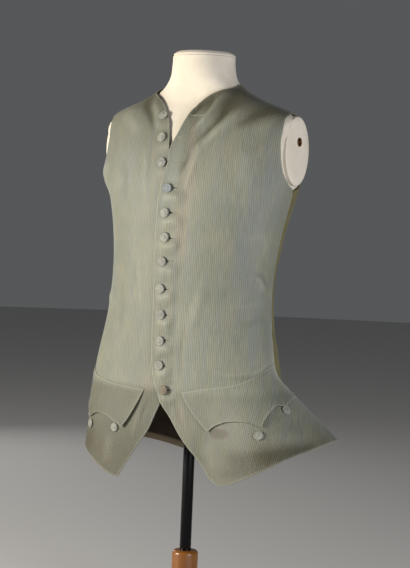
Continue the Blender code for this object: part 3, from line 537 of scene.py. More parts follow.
def lay_shell(name, node, make, pattern, surface, grain, marks, finishes, ends=(0.0, 1.0)):
    """A thin shell of cloth: a grid extruded to two faces, each point laid where surface() puts it.

    pattern(across, up) gives bearings and heights, and surface() the points of the outer face there with
    the directions out of it. grain() gives where a point lies in the flat cloth, in metres, and marks()
    how far the cloth is soiled, faded or stained there, and on the fronts how far it is darkened by
    painted shade in the troughs of the creases and lightened by a painted highlight on their ridges.
    """
    fine = np.linspace(0, 1, 400)

    def face_at(across, up):
        return surface(*pattern(across, up), across, up)

    row_points = face_at(fine[None, :], np.array([[make.row]]))[0][0]
    column_points = face_at(np.array([[make.column]]), fine[:, None])[0][:, 0]
    across = shares_along(row_points, make.spacing, ends)[None, :]
    up = shares_along(column_points, make.spacing)[:, None]
    columns, rows = across.size - 1, up.size - 1
    bearing, height = pattern(across, up)
    outer, out = surface(bearing, height, across, up)
    edge = edge_distance(outer)
    roll = np.clip(1 - edge / EDGE_ROUND, 0, 1)
    turned_in = 0.45 * make.thickness * (1 - np.sqrt(1 - roll**2))[..., None]
    folded = make.facing * (1 - smooth_step((edge - FACING_WIDTH) / FACING_FADE))[..., None]
    places = (outer - out * (make.thickness + folded - turned_in), outer - out * turned_in)

    cloth = bmesh.new()
    bmesh.ops.create_grid(cloth, x_segments=columns, y_segments=rows, size=0.5)
    top = bmesh.ops.extrude_face_region(cloth, geom=cloth.faces[:])["geom"]
    top = [part for part in top if isinstance(part, bmesh.types.BMVert)]
    bmesh.ops.translate(cloth, verts=top, vec=(0, 0, 1))
    keys = []
    for point in cloth.verts:
        row, column = round((point.co.y + 0.5) * rows), round((point.co.x + 0.5) * columns)
        layer = round(point.co.z)
        keys.append((row, column, layer))
        point.co = places[layer][row, column]
    row, column, layer = np.array(keys).T
    piece = mesh_object(name, cloth, finishes)

    mesh = piece.data
    corners = np.empty(len(mesh.loops), np.int32)
    mesh.loops.foreach_get("vertex_index", corners)
    flat = np.stack(np.broadcast_arrays(*grain(bearing, height)), axis=-1)[row, column]
    mesh.uv_layers.new(name="cloth").data.foreach_set("uv", flat[corners].astype(np.float32).ravel())
    underside = (layer[corners].reshape(-1, 4) == 0).all(axis=1)
    mesh.polygons.foreach_set("material_index", underside.astype(np.int32))
    for mark, amount in marks(bearing, height, edge).items():
        values = np.broadcast_to(amount, edge.shape)[row, column].astype(np.float32)
        mesh.attributes.new(mark, "FLOAT", "POINT").data.foreach_set("value", values)
    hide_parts(node)
    return piece


def flat_width(leans, side):
    """How far round the body each bearing lies from the centre front, at each height of the pattern."""
    bearings = np.linspace(0, 180, 181)[None, :]
    heights = np.linspace(0.25, 1.01, 77)[:, None]
    points = cloth_point(side * bearings, heights, 0.0, leans)
    steps = np.linalg.norm(np.diff(points, axis=1), axis=2)
    widths = np.pad(np.cumsum(steps, axis=1), ((0, 0), (1, 0)))

    def width(bearing, height):
        bearing, height = np.broadcast_arrays(np.abs(bearing), height)
        column = np.clip(bearing, 0, 179.99)
        row = np.clip((height - 0.25) / 0.01, 0, 75.99)
        left, low = column.astype(int), row.astype(int)
        part, rise = column - left, row - low
        below = widths[low, left] * (1 - part) + widths[low, left + 1] * part
        above = widths[low + 1, left] * (1 - part) + widths[low + 1, left + 1] * part
        return below * (1 - rise) + above * rise

    return width


def closer_at_side(share):
    """Spaces a front's columns as its solid does, closer together towards the side."""
    crowding = 0.35
    return share * (1 + crowding * (1 - share))


def worn_front(leans, rise, folds, swells):
    """Functions for a front's creased face with the directions out of it, and for its creases alone."""

    def creases(bearing, height):
        return fold_relief(folds, bearing, height)

    def on_front(bearing, height):
        face, out = cloth_frame(bearing, height, leans)
        relief = rise(bearing) + creases(bearing, height) + swell_relief(swells, bearing, height)
        return face + out * relief[..., None], out

    return on_front, creases


def build_front(name, node, side, front_edge, hem, leans, on_front, marks):
    """One front, from the hem's two corners up to the shoulder seam."""
    neck, tip = LEFT_FRONT_EDGE[-1], SIDE_EDGE[-1]
    side_edge = SIDE_EDGE if side > 0 else RIGHT_SIDE_EDGE

    def left(share):
        return curve_through(front_edge, share * ROWS)

    def right(share):
        bearing, height = curve_through(side_edge, share * ROWS)
        return np.stack((side * bearing, height))

    def bottom(share):
        return curve_through(hem, share)

    def top(share):
        return np.stack((side * neck.bearing + share * 0, neck.height + (tip.height - neck.height) * share))

    def pattern(across, up):
        return four_sided(left, right, bottom, top, closer_at_side(across), up)

    def surface(bearing, height, *_):
        return on_front(bearing, height)

    width = flat_width(leans, side)

    def grain(bearing, height):
        return side * width(bearing, height) * np.sign(side * bearing + 1e-9), height

    return lay_shell(name, node, FRONT_MAKE, pattern, surface, grain, marks, [SILK, REVERSE])


def beside_seam(bearing, height, distance):
    """A bearing moved on by a distance along the surface."""
    point = body_point(bearing, height, 0.0)
    centre_y = curve_through(SECTIONS, height)[1]
    return bearing + np.degrees(distance / np.hypot(point[..., 0], point[..., 1] - centre_y))


def build_back(name, node, side, swells):
    """One half of the back, from the side seam to the centre seam, with its half of the neck."""
    neck, tip, centre = LEFT_FRONT_EDGE[-1], SIDE_EDGE[-1], CENTRE_BACK_EDGE[-1]
    hem_corner, hem_centre = BACK_SIDE_EDGE[0], CENTRE_BACK_EDGE[0]
    shoulder_share = 0.58
    shoulder = [
        Along(0.0, tip.bearing, tip.height),
        Along(shoulder_share / 2, tip.bearing, (tip.height + neck.height) / 2),
        Along(shoulder_share, neck.bearing, neck.height),
    ]
    back_neck = [
        Along(shoulder_share, neck.bearing, neck.height),
        Along(0.72, 122.0, 0.999),
        Along(0.86, 152.0, 0.990),
        Along(1.0, centre.bearing, centre.height),
    ]

    def left(share):
        return curve_through(BACK_SIDE_EDGE, share * ROWS)

    def right(share):
        return curve_through(CENTRE_BACK_EDGE, share * ROWS)

    def bottom(share):
        drop = (hem_centre.height - hem_corner.height) * smooth_step(share)
        return np.stack((hem_corner.bearing + (180 - hem_corner.bearing) * share, hem_corner.height + drop))

    def top(share):
        beyond = share > shoulder_share
        return np.where(beyond, line_through(back_neck, share), line_through(shoulder, share))

    def pattern(across, up):
        bearing, height = four_sided(left, right, bottom, top, across, up)
        before_neck = smooth_step((0.95 - across) / 0.3)
        seam_share = before_neck * (1 - smooth_step(np.minimum(across, 1 - up) / 0.2))
        bearing = beside_seam(bearing, height, SEAM * seam_share)
        centre_share = 1 - smooth_step((1 - across) / 0.2)
        return beside_seam(bearing, height, -SEAM / 2 * centre_share), height

    def surface(bearing, height, *_):
        relief = fold_relief(BACK_FOLDS, bearing + 4 * (side - 1), height)
        relief = relief * smooth_step((178 - bearing) / 12) + swell_relief(swells, side * bearing, height)
        face, out = cloth_frame(bearing, height, LEAN_BACK)
        mirror = np.array((side, 1, 1))
        return (face + out * relief[..., None]) * mirror, out * mirror

    width = flat_width(LEAN_BACK, 1)

    def grain(bearing, height):
        return side * (width(180.0, height) - width(bearing, height)), height

    def marks(bearing, height, edge):
        soil = 0.7 * smooth_step((height - 0.93) / 0.06) + 0.5 * smooth_step((0.33 - height) / 0.03)
        above_hem = height - (0.270 + 0.046 * smooth_step((180 - bearing) / 76))
        hem = 0.8 * (1 - smooth_step((above_hem - 0.010) / 0.004))
        return {"soil": soil, "pale": 0.5 * (1 - smooth_step(edge / 0.004)), "hem": hem}

    return lay_shell(name, node, BACK_MAKE, pattern, surface, grain, marks, [BACK_CLOTH, REVERSE])


def flap_lift(bearing, height, up, side):
    """How far a pocket flap stands off the front: seated at its top, free and lifted at its points."""
    lift = FLAP_SEAT + 0.0014 * (1 - up) ** 1.5
    button = POCKET_BUTTONS[1] if side > 0 else POCKET_BUTTONS[4]
    arc = np.radians(bearing - button.bearing) * 0.20
    distance = np.hypot(arc, height - button.height)
    lift = lift + 0.0052 * np.exp(-((distance / 0.020) ** 2))
    if side < 0:
        tip = RIGHT_FLAP_HEM[0]
        arc = np.radians(bearing - tip.bearing) * 0.13
        distance = np.hypot(arc, height - tip.height)
        lift = lift + 0.0030 * np.exp(-((distance / 0.022) ** 2))
    return lift


def build_flap(name, node, side, top_edge, hem, leans, on_front, marks):
    """A three-pointed pocket flap that lies on a front and follows it."""
    points = (6, 10)
    front_sag = -0.0020

    def between(first, last, share):
        return np.stack([first[i] + (last[i] - first[i]) * share for i in (1, 2)])

    def left(share):
        bearing, height = between(hem[0], top_edge[0], share)
        return np.stack((bearing, height + front_sag * np.sin(np.pi * share)))

    def right(share):
        return between(hem[-1], top_edge[-1], share)

    def bottom(share):
        return pointed_curve(hem, points, share)

    def top(share):
        return curve_through(top_edge, share)

    def pattern(across, up):
        return four_sided(left, right, bottom, top, across, up)

    def surface(bearing, height, across, up):
        pucker = 0.0004 * np.sin(bearing * 2.1 + 2 * np.sin(bearing * 0.7)) * smooth_step((up - 0.75) / 0.25)
        free_edge = 0.0022 * smooth_step(1 - across / 0.12) * np.sin(np.pi * np.clip(1 - up, 0, 1)) ** 2
        lift = flap_lift(bearing, height, up, side) + pucker + (free_edge if side < 0 else 0)
        sewn = FLAP_SHELL + 0.0002
        loose = smooth_step((1 - up) / 0.14) * smooth_step((1 - across) / 0.08)
        face, out = on_front(bearing, height)
        return face + out * (sewn + (lift + FLAP_WALL - sewn) * loose)[..., None], out

    width = flat_width(leans, side)

    def grain(bearing, height):
        return side * width(bearing, height), height

    ends = (0.0, *(hem[i].share for i in points), 1.0)
    return lay_shell(name, node, FLAP_MAKE, pattern, surface, grain, marks, [SILK, REVERSE], ends)


def spin_round(builder, geometry, steps):
    """A full turn of a profile round Z, closed on itself."""
    turn = {"cent": (0, 0, 0), "axis": (0, 0, 1), "angle": math.tau, "steps": steps}
    bmesh.ops.spin(builder, geom=geometry, use_merge=True, **turn)


def move_points(builder, places):
    """Each point of a mesh put at its own place."""
    for point, place in zip(builder.verts, places):
        point.co = place


def turned_piece(name, profile, sides, finishes, place=None):
    """A piece turned round Z from a profile of (radius, height) pairs that starts and ends on the axis."""
    solid = bmesh.new()
    points = [solid.verts.new((radius, 0, height)) for radius, height in profile]
    edges = [solid.edges.new(pair) for pair in zip(points, points[1:])]
    spin_round(solid, points + edges, sides)
    bmesh.ops.remove_doubles(solid, verts=solid.verts, dist=1e-6)
    if place:
        bmesh.ops.transform(solid, matrix=place, verts=solid.verts)
    return mesh_object(name, solid, finishes)


def rounded_profile(corners, radius, steps=4):
    """A profile through (radius, height) corners with each inner corner rounded."""
    corners = [np.array(corner, float) for corner in corners]
    points = [corners[0]]
    for before, corner, after in zip(corners, corners[1:], corners[2:]):
        into, out_of = before - corner, after - corner
        reach = min(radius, np.linalg.norm(into) * 0.45, np.linalg.norm(out_of) * 0.45)
        start = corner + into / np.linalg.norm(into) * reach
        end = corner + out_of / np.linalg.norm(out_of) * reach
        for step in range(steps + 1):
            t = step / steps
            points.append((1 - t) ** 2 * start + 2 * t * (1 - t) * corner + t**2 * end)
    points.append(corners[-1])
    return [tuple(point) for point in points]


def frame_on_cloth(bearing, height, out, leans):
    """A place on the cloth whose Z axis points straight out of it."""
    step_bearing, step_height = 0.5, 0.002
    point = Vector(cloth_point(bearing, height, out, leans))
    along = Vector(cloth_point(bearing + step_bearing, height, out, leans)) - point
    above = Vector(cloth_point(bearing, height + step_height, out, leans)) - point
    outward = along.cross(above).normalized()
    above = above.normalized()
    along = above.cross(outward)
    return Matrix.Translation(point) @ Matrix((along, above, outward)).transposed().to_4x4()


def covered_button(name, node, bearing, height, out, leans, radius, silk_over=None):
    """A flat wooden mould covered with silk drawn in behind, its face ringed and slightly domed."""
    rise = BUTTON_HEIGHT
    # Shares of the radius and of the rise, from behind the rim round to the middle of the face
    shares = [(0.84, 0.12), (0.95, 0.28), (1, 0.46), (0.985, 0.60), (0.93, 0.74), (0.85, 0.84), (0.76, 0.89)]
    shares += [(0.69, 0.88), (0.62, 0.82), (0.55, 0.81), (0.48, 0.86), (0.36, 0.94), (0.20, 0.99), (0, 1)]
    profile = [(0.0, SEAM), (radius * 0.66, SEAM)]
    profile += [(radius * across, rise * up) for across, up in shares]
    piece = turned_piece(name, profile, 40, [silk_over or BUTTON_SILK])
    gathers, gather_depth = 11, 0.018
    for point in piece.data.vertices:
        turn = math.atan2(point.co.y, point.co.x)
        below_face = 1 - float(smooth_step((point.co.z / rise - 0.45) / 0.4))
        squeeze = 1 - gather_depth * below_face * (0.5 + 0.5 * math.sin(gathers * turn + bearing))
        lump = 1 + 0.03 * math.sin(2 * turn + bearing * 3) * point.co.length / radius
        point.co.x *= squeeze
        point.co.y *= squeeze
        point.co.z *= min(lump, 1.02)
    piece.data.transform(frame_on_cloth(bearing, height, out, leans))
    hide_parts(node)
    return piece


def build_buttons():
    worn = {4: BUTTON_SILK_BLUE, 12: BUTTON_SILK_BROWN}
    number = 0
    for row in RIGHT_NECK_BUTTONS + CLOSED_BUTTONS:
        number += 1
        closed = row in CLOSED_BUTTONS
        out = FACE + (OVERLAP_RISE if closed else 0.0)
        leans = LEAN_LEFT if closed else LEAN_RIGHT
        names = (f"covered_button_{number:02d}", f"button_{number:02d}")
        place = (bearing_of(row.x, row.height), row.height, out, leans, BUTTON_RADIUS)
        covered_button(*names, *place, worn.get(number))
    for row in POCKET_BUTTONS:
        leans = LEAN_LEFT if row.bearing > 0 else LEAN_RIGHT
        name = row.name.replace("pocket_button", "covered_pocket_button")
        covered_button(name, row.name, row.bearing, row.height, FACE, leans, POCKET_BUTTON_RADIUS)


def laid_on(on_front, bearing, height, along, across, lift):
    """Points laid on a front round a place on it: metres to its left, metres up, and metres out."""
    radius = float(np.hypot(*body_point(bearing, max(height, HIP_HEIGHT), FACE)[:2]))
    bearings = bearing + np.degrees(np.asarray(along) / radius)
    face, out = on_front(bearings, height + np.asarray(across))
    return face + out * np.asarray(lift)[..., None]


def build_buttonholes(on_left):
    """The left front's worked buttonholes: a cord of silk twist round each slit, and the slit's dark inside.

    A slit is a soft dark lens on the cloth, painted shadow for the opening, wider beside a fastened button
    that pulls it open.
    """
    reach_back, reach = -0.0030, 0.0235
    cords, slits = bmesh.new(), bmesh.new()
    _, edge_bearings, edge_heights = np.array(LEFT_FRONT_EDGE).T
    half, middle = (reach - reach_back) / 2, (reach + reach_back) / 2
    ring = [math.tau * step / 8 for step in range(8)]
    for number, row in enumerate(RIGHT_NECK_BUTTONS + CLOSED_BUTTONS):
        pulled = float(row in CLOSED_BUTTONS)
        at_edge = float(np.interp(row.height, edge_heights, edge_bearings)) + 6.0
        bearing = bearing_of(row.x, row.height) if pulled else at_edge
        tilt = 0.0016 * math.sin(number * 2.3)

        cord = bmesh.new()
        section = [cord.verts.new((1 + 0.3 * math.cos(a), 0, 0.3 * math.sin(a))) for a in ring]
        edges = [cord.edges.new(pair) for pair in zip(section, section[1:] + section[:1])]
        spin_round(cord, section + edges, 44)
        points = np.array([point.co for point in cord.verts])
        angle = np.arctan2(points[:, 1], points[:, 0])
        outward = (np.hypot(points[:, 0], points[:, 1]) - 1) / 0.3
        open_by = slit_half_width(half * np.cos(angle) + middle, pulled)
        round_end = np.sign(np.cos(angle)) * np.abs(np.cos(angle)) ** 0.6
        along = middle + (half + 0.0006 + 0.0005 * outward) * round_end
        round_side = np.sign(np.sin(angle)) * np.abs(np.sin(angle)) ** 0.5
        across = (open_by + 0.0006 + 0.0005 * outward) * round_side
        across = across + tilt * along / half
        lift = 0.0002 + 0.0004 * points[:, 2] / 0.3
        laid = laid_on(on_left, bearing, row.height, along, across, lift)
        move_points(cord, laid)
        add_into(cords, cord)

        slit = bmesh.new()
        bmesh.ops.create_uvsphere(slit, u_segments=28, v_segments=8, radius=1)
        points = np.array([point.co for point in slit.verts])
        along = middle + half * points[:, 0]
        across = slit_half_width(along, pulled) * points[:, 1] + tilt * along / half
        laid = laid_on(on_left, bearing, row.height, along, across, 0.0001 + 0.00025 * points[:, 2])
        move_points(slit, laid)
        add_into(slits, slit)
    worked = mesh_object("worked_buttonholes", cords, [TWIST])
    return worked, mesh_object("buttonhole_slits", slits, [SLIT_DARK])


def slit_half_width(along, pulled):
    """Half the width of a buttonhole, which a fastened button pulls open just beyond its rim."""
    at_rim = np.exp(-(((np.asarray(along) - 0.0112) / 0.0021) ** 2))
    return 0.00012 + pulled * (0.00014 + 0.0016 * at_rim)


def add_into(whole, part):
    """Adds one bmesh's faces to another."""
    mesh = bpy.data.meshes.new("part")
    part.to_mesh(mesh)
    part.free()
    whole.from_mesh(mesh)
    bpy.data.meshes.remove(mesh)


def build_edge_stitches(name, on_front, paths):
    """A row of small prick stitches a little inside a front's edges, each stitch a rounded bead of silk."""
    pitch, inside, half_length, half_width = 0.0052, 0.0030, 0.0009, 0.00035
    stitches = bmesh.new()
    for path, inward in paths:
        share = np.linspace(0, 1, 1600)
        points, _ = on_front(*path(share))
        steps = np.linalg.norm(np.diff(points, axis=0), axis=1)
        length = np.concatenate(([0.0], np.cumsum(steps)))
        at = np.interp(np.arange(pitch, length[-1] - pitch, pitch), length, share)
        places, outward = on_front(*path(at))
        before, after = path(np.maximum(at - 0.0008, 0)), path(np.minimum(at + 0.0008, 1))
        ahead = on_front(*after)[0] - on_front(*before)[0]
        ahead = ahead / np.linalg.norm(ahead, axis=-1, keepdims=True)
        aside = np.cross(outward, ahead)
        for place, along, beside, above in zip(places, ahead, aside, outward):
            centre = place + beside * inside * inward + above * 0.00012
            turned = Matrix((along * half_length, beside * half_width, above * half_width)).transposed()
            frame_of = Matrix.Translation(centre) @ turned.to_4x4()
            bmesh.ops.create_uvsphere(stitches, u_segments=6, v_segments=4, radius=1, matrix=frame_of)
    return mesh_object(name, stitches, [TWIST])


def build_form():
    """The limbless form: a smooth closed skin from its rounded lower edge to the top of its neck."""
    sides = 144
    Ring = namedtuple("Ring", "height inset")
    below = [Ring(FORM_BOTTOM, 0.026), Ring(0.4305, 0.021), Ring(0.434, 0.0125), Ring(0.440, 0.0078)]
    below += [Ring(0.450, 0.0050), Ring(0.465, 0.0030)]
    above = []
    for height in np.concatenate((np.linspace(0.49, 0.89, 33), np.linspace(0.8975, NECK_TOP, 46))):
        at_ridge = math.exp(-(((height - RIDGE_HEIGHT) / RIDGE_SPREAD) ** 2))
        above.append(Ring(height, FORM_CLEARANCE + RIDGE_CLEARANCE * at_ridge))
    rings = below + above

    form = bmesh.new()
    bmesh.ops.create_circle(form, cap_ends=False, segments=sides, radius=1)
    loop = form.edges[:]
    for _ in rings[1:]:
        grown = bmesh.ops.extrude_edge_only(form, edges=loop)["geom"]
        fresh = [part for part in grown if isinstance(part, bmesh.types.BMVert)]
        bmesh.ops.translate(form, verts=fresh, vec=(0, 0, 1))
        loop = [part for part in grown if isinstance(part, bmesh.types.BMEdge) and part.is_boundary]
    bmesh.ops.holes_fill(form, edges=[edge for edge in form.edges if edge.is_boundary], sides=0)
    places = np.array([point.co for point in form.verts])
    bearings = np.degrees(np.arctan2(places[:, 0], -places[:, 1]))
    heights, insets = np.array(rings)[np.round(places[:, 2]).astype(int)].T
    skin = cloth_point(bearings, np.maximum(heights, HIP_HEIGHT), -insets, LEAN_BACK)
    skin[:, 0] = np.clip(skin[:, 0], insets - PLATE_X, PLATE_X - insets)
    level = (heights < HIP_HEIGHT) | (heights == NECK_TOP)
    skin[:, 2] = np.where(level, heights, skin[:, 2])
    move_points(form, skin)
    torso = mesh_object("form_covering", form, [FORM_SKIN])
    torso.data.set_sharp_from_angle(angle=math.radians(70))
    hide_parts("form_torso")

    _, centre_y, front, _, _ = curve_through(SECTIONS, NECK_TOP)
    radius = float(front + centre_y) - FORM_CLEARANCE
    bottom = NECK_TOP + SEAM
    corners = [
        (0.0, bottom),
        (radius * 0.97, bottom),
        (radius, bottom + NECK_CAP_HEIGHT * 0.30),
        (radius * 0.88, bottom + NECK_CAP_HEIGHT * 0.80),
        (radius * 0.45, bottom + NECK_CAP_HEIGHT),
        (0.0, bottom + NECK_CAP_HEIGHT),
    ]
    cap = turned_piece("form_neck_cover", rounded_profile(corners, 0.006), 96, [FORM_SKIN])
    cap.data.set_sharp_from_angle(angle=math.radians(50))
    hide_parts("form_neck_cap")


def build_arm_plate(word, side):
    """The flat oval plate that closes the form where an arm would be, and the brass cup let into it."""
    inner_x = PLATE_X - FORM_CLEARANCE + SEAM
    outer_x = inner_x + PLATE_THICKNESS
    flange = 0.0060
    bore = SOCKET_RADIUS + SEAM
    Outline = namedtuple("Outline", "x half_width half_height hub")
    # The plate's section as (x, how far its oval goes past the plate's half sizes)
    section = [(inner_x, -0.006), (inner_x - flange, 0.001), (inner_x - flange, 0.002), (inner_x, 0.001)]
    section += [(outer_x - 0.0018, -0.001), (outer_x - 0.0010, -0.003), (outer_x - 0.0004, -0.006)]
    section += [(outer_x, -0.012)]
    outlines = [Outline(x, PLATE_HALF_WIDTH + grow, PLATE_HALF_HEIGHT + grow, 0.0) for x, grow in section]
    outlines = [Outline(inner_x, bore, bore, 1.0), *outlines, Outline(outer_x, bore, bore, 1.0)]
    plate = bmesh.new()
    points = [plate.verts.new((1, 0, index)) for index in range(len(outlines))]
    edges = [plate.edges.new(pair) for pair in zip(points, points[1:] + points[:1])]
    spin_round(plate, points + edges, 96)
    for point in plate.verts:
        row = outlines[round(point.co.z)]
        y = PLATE_CENTRE[0] + (SOCKET_CENTRE[0] - PLATE_CENTRE[0]) * row.hub + point.co.x * row.half_width
        z = PLATE_CENTRE[1] + (SOCKET_CENTRE[1] - PLATE_CENTRE[1]) * row.hub + point.co.y * row.half_height
        point.co = (side * row.x, y, z)
    piece = mesh_object(f"arm_plate_cover_{word}", plate, [FORM_SKIN])
    piece.data.set_sharp_from_angle(angle=math.radians(40))
    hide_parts(f"arm_plate_{word}")

    rim = PLATE_THICKNESS + 0.0009
    corners = [
        (0.0, 0.0),
        (SOCKET_RADIUS, 0.0),
        (SOCKET_RADIUS, rim),
        (SOCKET_BORE, rim),
        (SOCKET_BORE, 0.0008),
        (0.0, 0.0008),
    ]
    outward = Matrix.Rotation(math.radians(90 * side), 4, "Y")
    place = Matrix.Translation((side * inner_x, *SOCKET_CENTRE)) @ outward
    profile = rounded_profile(corners, 0.0007, steps=3)
    cup = turned_piece(f"brass_cup_{word}", profile, 48, [BRASS, CUP_SHADOW], place)
    cup.data.set_sharp_from_angle(angle=math.radians(50))
    # Faces deep in the bore take the dark brown finish, painted shade for the hollow
    for face in cup.data.polygons:
        centre = Vector((0, *SOCKET_CENTRE))
        away = (Vector((0, face.center.y, face.center.z)) - centre).length
        deep = abs(face.center.x) < inner_x + rim - 0.0006
        face.material_index = int(away < SOCKET_BORE + 0.0001 and deep)
    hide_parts(f"arm_socket_{word}")


def build_stand():
    """The enamelled rod, the turned wooden socket that takes it, and the round base."""
    rod_bottom, rod_top = COLUMN_TOP + SEAM, FORM_BOTTOM - SEAM
    corners = [(0.0, rod_bottom), (ROD_RADIUS, rod_bottom), (ROD_RADIUS, rod_top), (0.0, rod_top)]
    rod = turned_piece("enamelled_rod", rounded_profile(corners, 0.0008), 64, [BLACK_ENAMEL])
    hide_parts("stand_rod")

    foot = BASE_HEIGHT + SEAM
    corners = [
        (0.0, foot),
        (0.046, foot),
        (0.046, foot + 0.006),
        (0.040, foot + 0.012),
        (0.029, foot + 0.022),
        (COLUMN_RADIUS, foot + 0.036),
        (COLUMN_RADIUS, COLUMN_TOP - 0.004),
        (COLUMN_RADIUS - 0.003, COLUMN_TOP),
        (0.0, COLUMN_TOP),
    ]
    column = turned_piece("turned_column", rounded_profile(corners, 0.004), 96, [BEECH])
    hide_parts("stand_column")
    corners = [
        (0.0, 0.0),
        (BASE_RADIUS, 0.0),
        (BASE_RADIUS, BASE_HEIGHT - 0.008),
        (BASE_RADIUS - 0.010, BASE_HEIGHT),
        (0.0, BASE_HEIGHT),
    ]
    base = turned_piece("turned_base", rounded_profile(corners, 0.004), 128, [BEECH])
    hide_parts("stand_base")
    for piece in (rod, column, base):
        piece.data.set_sharp_from_angle(angle=math.radians(50))


def front_marks(side, creases):
    """How a front is soiled, tanned, faded and stained, by bearing, height and distance from its edge,
    with painted shade in the troughs of its creases and a painted highlight on their ridges.
    """
    _, edge_bearings, edge_heights = np.array(LEFT_FRONT_EDGE).T

    def marks(bearing, height, edge):
        depth = creases(bearing, height)
        chest = smooth_step((height - 0.80) / 0.09)
        below_waist = smooth_step((0.445 - height) / 0.02)
        # Painted shade: darker in the troughs of the creases, the more so on the chest
        painted_groove_shade = 0.70 * np.clip(-depth / 0.0024, 0, 1) * (0.4 + 0.6 * chest)
        worn = {"soil": 0.28 * below_waist + 0.26 * chest + painted_groove_shade, "tan": 0.0, "blue": 0.0, "stain": 0.0}
        # Paler within 4.5 mm of every edge, and paler on the raised creases as a painted highlight
        worn["pale"] = 0.42 * (1 - smooth_step(edge / 0.0045)) + 0.36 * np.clip(depth / 0.0048, 0, 1)
        if side > 0:
            behind_edge = (bearing - np.interp(height, edge_heights, edge_bearings)) * SPAN_PER_DEGREE
            strip = smooth_step((0.022 - behind_edge) / 0.012) * smooth_step((height - 0.44) / 0.02)
            shoulder = smooth_step((height - 0.905 + 0.0004 * (bearing - 60)) / 0.07)
            worn["soil"] += 0.20 * strip + 0.95 * shoulder + 0.34 * smooth_step((0.40 - height) / 0.09)
            worn["stain"] = smooth_step((1.25 - oval_distance(bearing, height)) / 0.35)
        else:
            worn["soil"] += 0.10 + 0.75 * smooth_step((height - 0.935) / 0.05)
            worn["soil"] += 0.36 * below_waist + 0.30 * smooth_step((0.40 - height) / 0.10)
        for spot in LEFT_SPOTS if side > 0 else RIGHT_SPOTS:
            x = (bearing - spot.bearing) * SPAN_PER_DEGREE / spot.wide
            y = (height - spot.height) / spot.tall
            worn[spot.mark] = worn[spot.mark] + spot.amount * np.exp(-(x**2 + y**2))
        return worn

    return marks


def oval_distance(bearing, height):
    """How far out a point lies from the mark of the left pocket's lost button, 1 at its rim."""
    at_bearing, at_height, half_width, half_height = 64.0, 0.3655, 0.0150, 0.0085
    x = (bearing - at_bearing) * SPAN_PER_DEGREE
    return np.hypot(x / half_width, (height - at_height) / half_height)


def linear(colour):
    """An sRGB hex colour as linear red, green, blue and alpha."""
    channels = [int(colour[i : i + 2], 16) / 255 for i in (0, 2, 4)]
    return (*[c / 12.92 if c <= 0.04045 else ((c + 0.055) / 1.055) ** 2.4 for c in channels], 1.0)


def new_finish(name):
    """An empty material and its shader."""
    finish = bpy.data.materials.new(name)
    finish.use_nodes = True
    return finish.node_tree, finish, finish.node_tree.nodes["Principled BSDF"]


def add_node(tree, kind, inputs=None, **settings):
    """A node with its settings, each input a value or the output that feeds it."""
    node = tree.nodes.new(kind)
    for name, value in settings.items():
        setattr(node, name, value)
    feed(tree, node, inputs or {})
    return node


def feed(tree, node, inputs):
    for name, value in inputs.items():
        if isinstance(value, bpy.types.NodeSocket):
            tree.links.new(value, node.inputs[name])
        else:
            node.inputs[name].default_value = value


# Where a mix node keeps its factor, its two colours and its result
MIX, FIRST, SECOND, MIXED = 0, 6, 7, 2


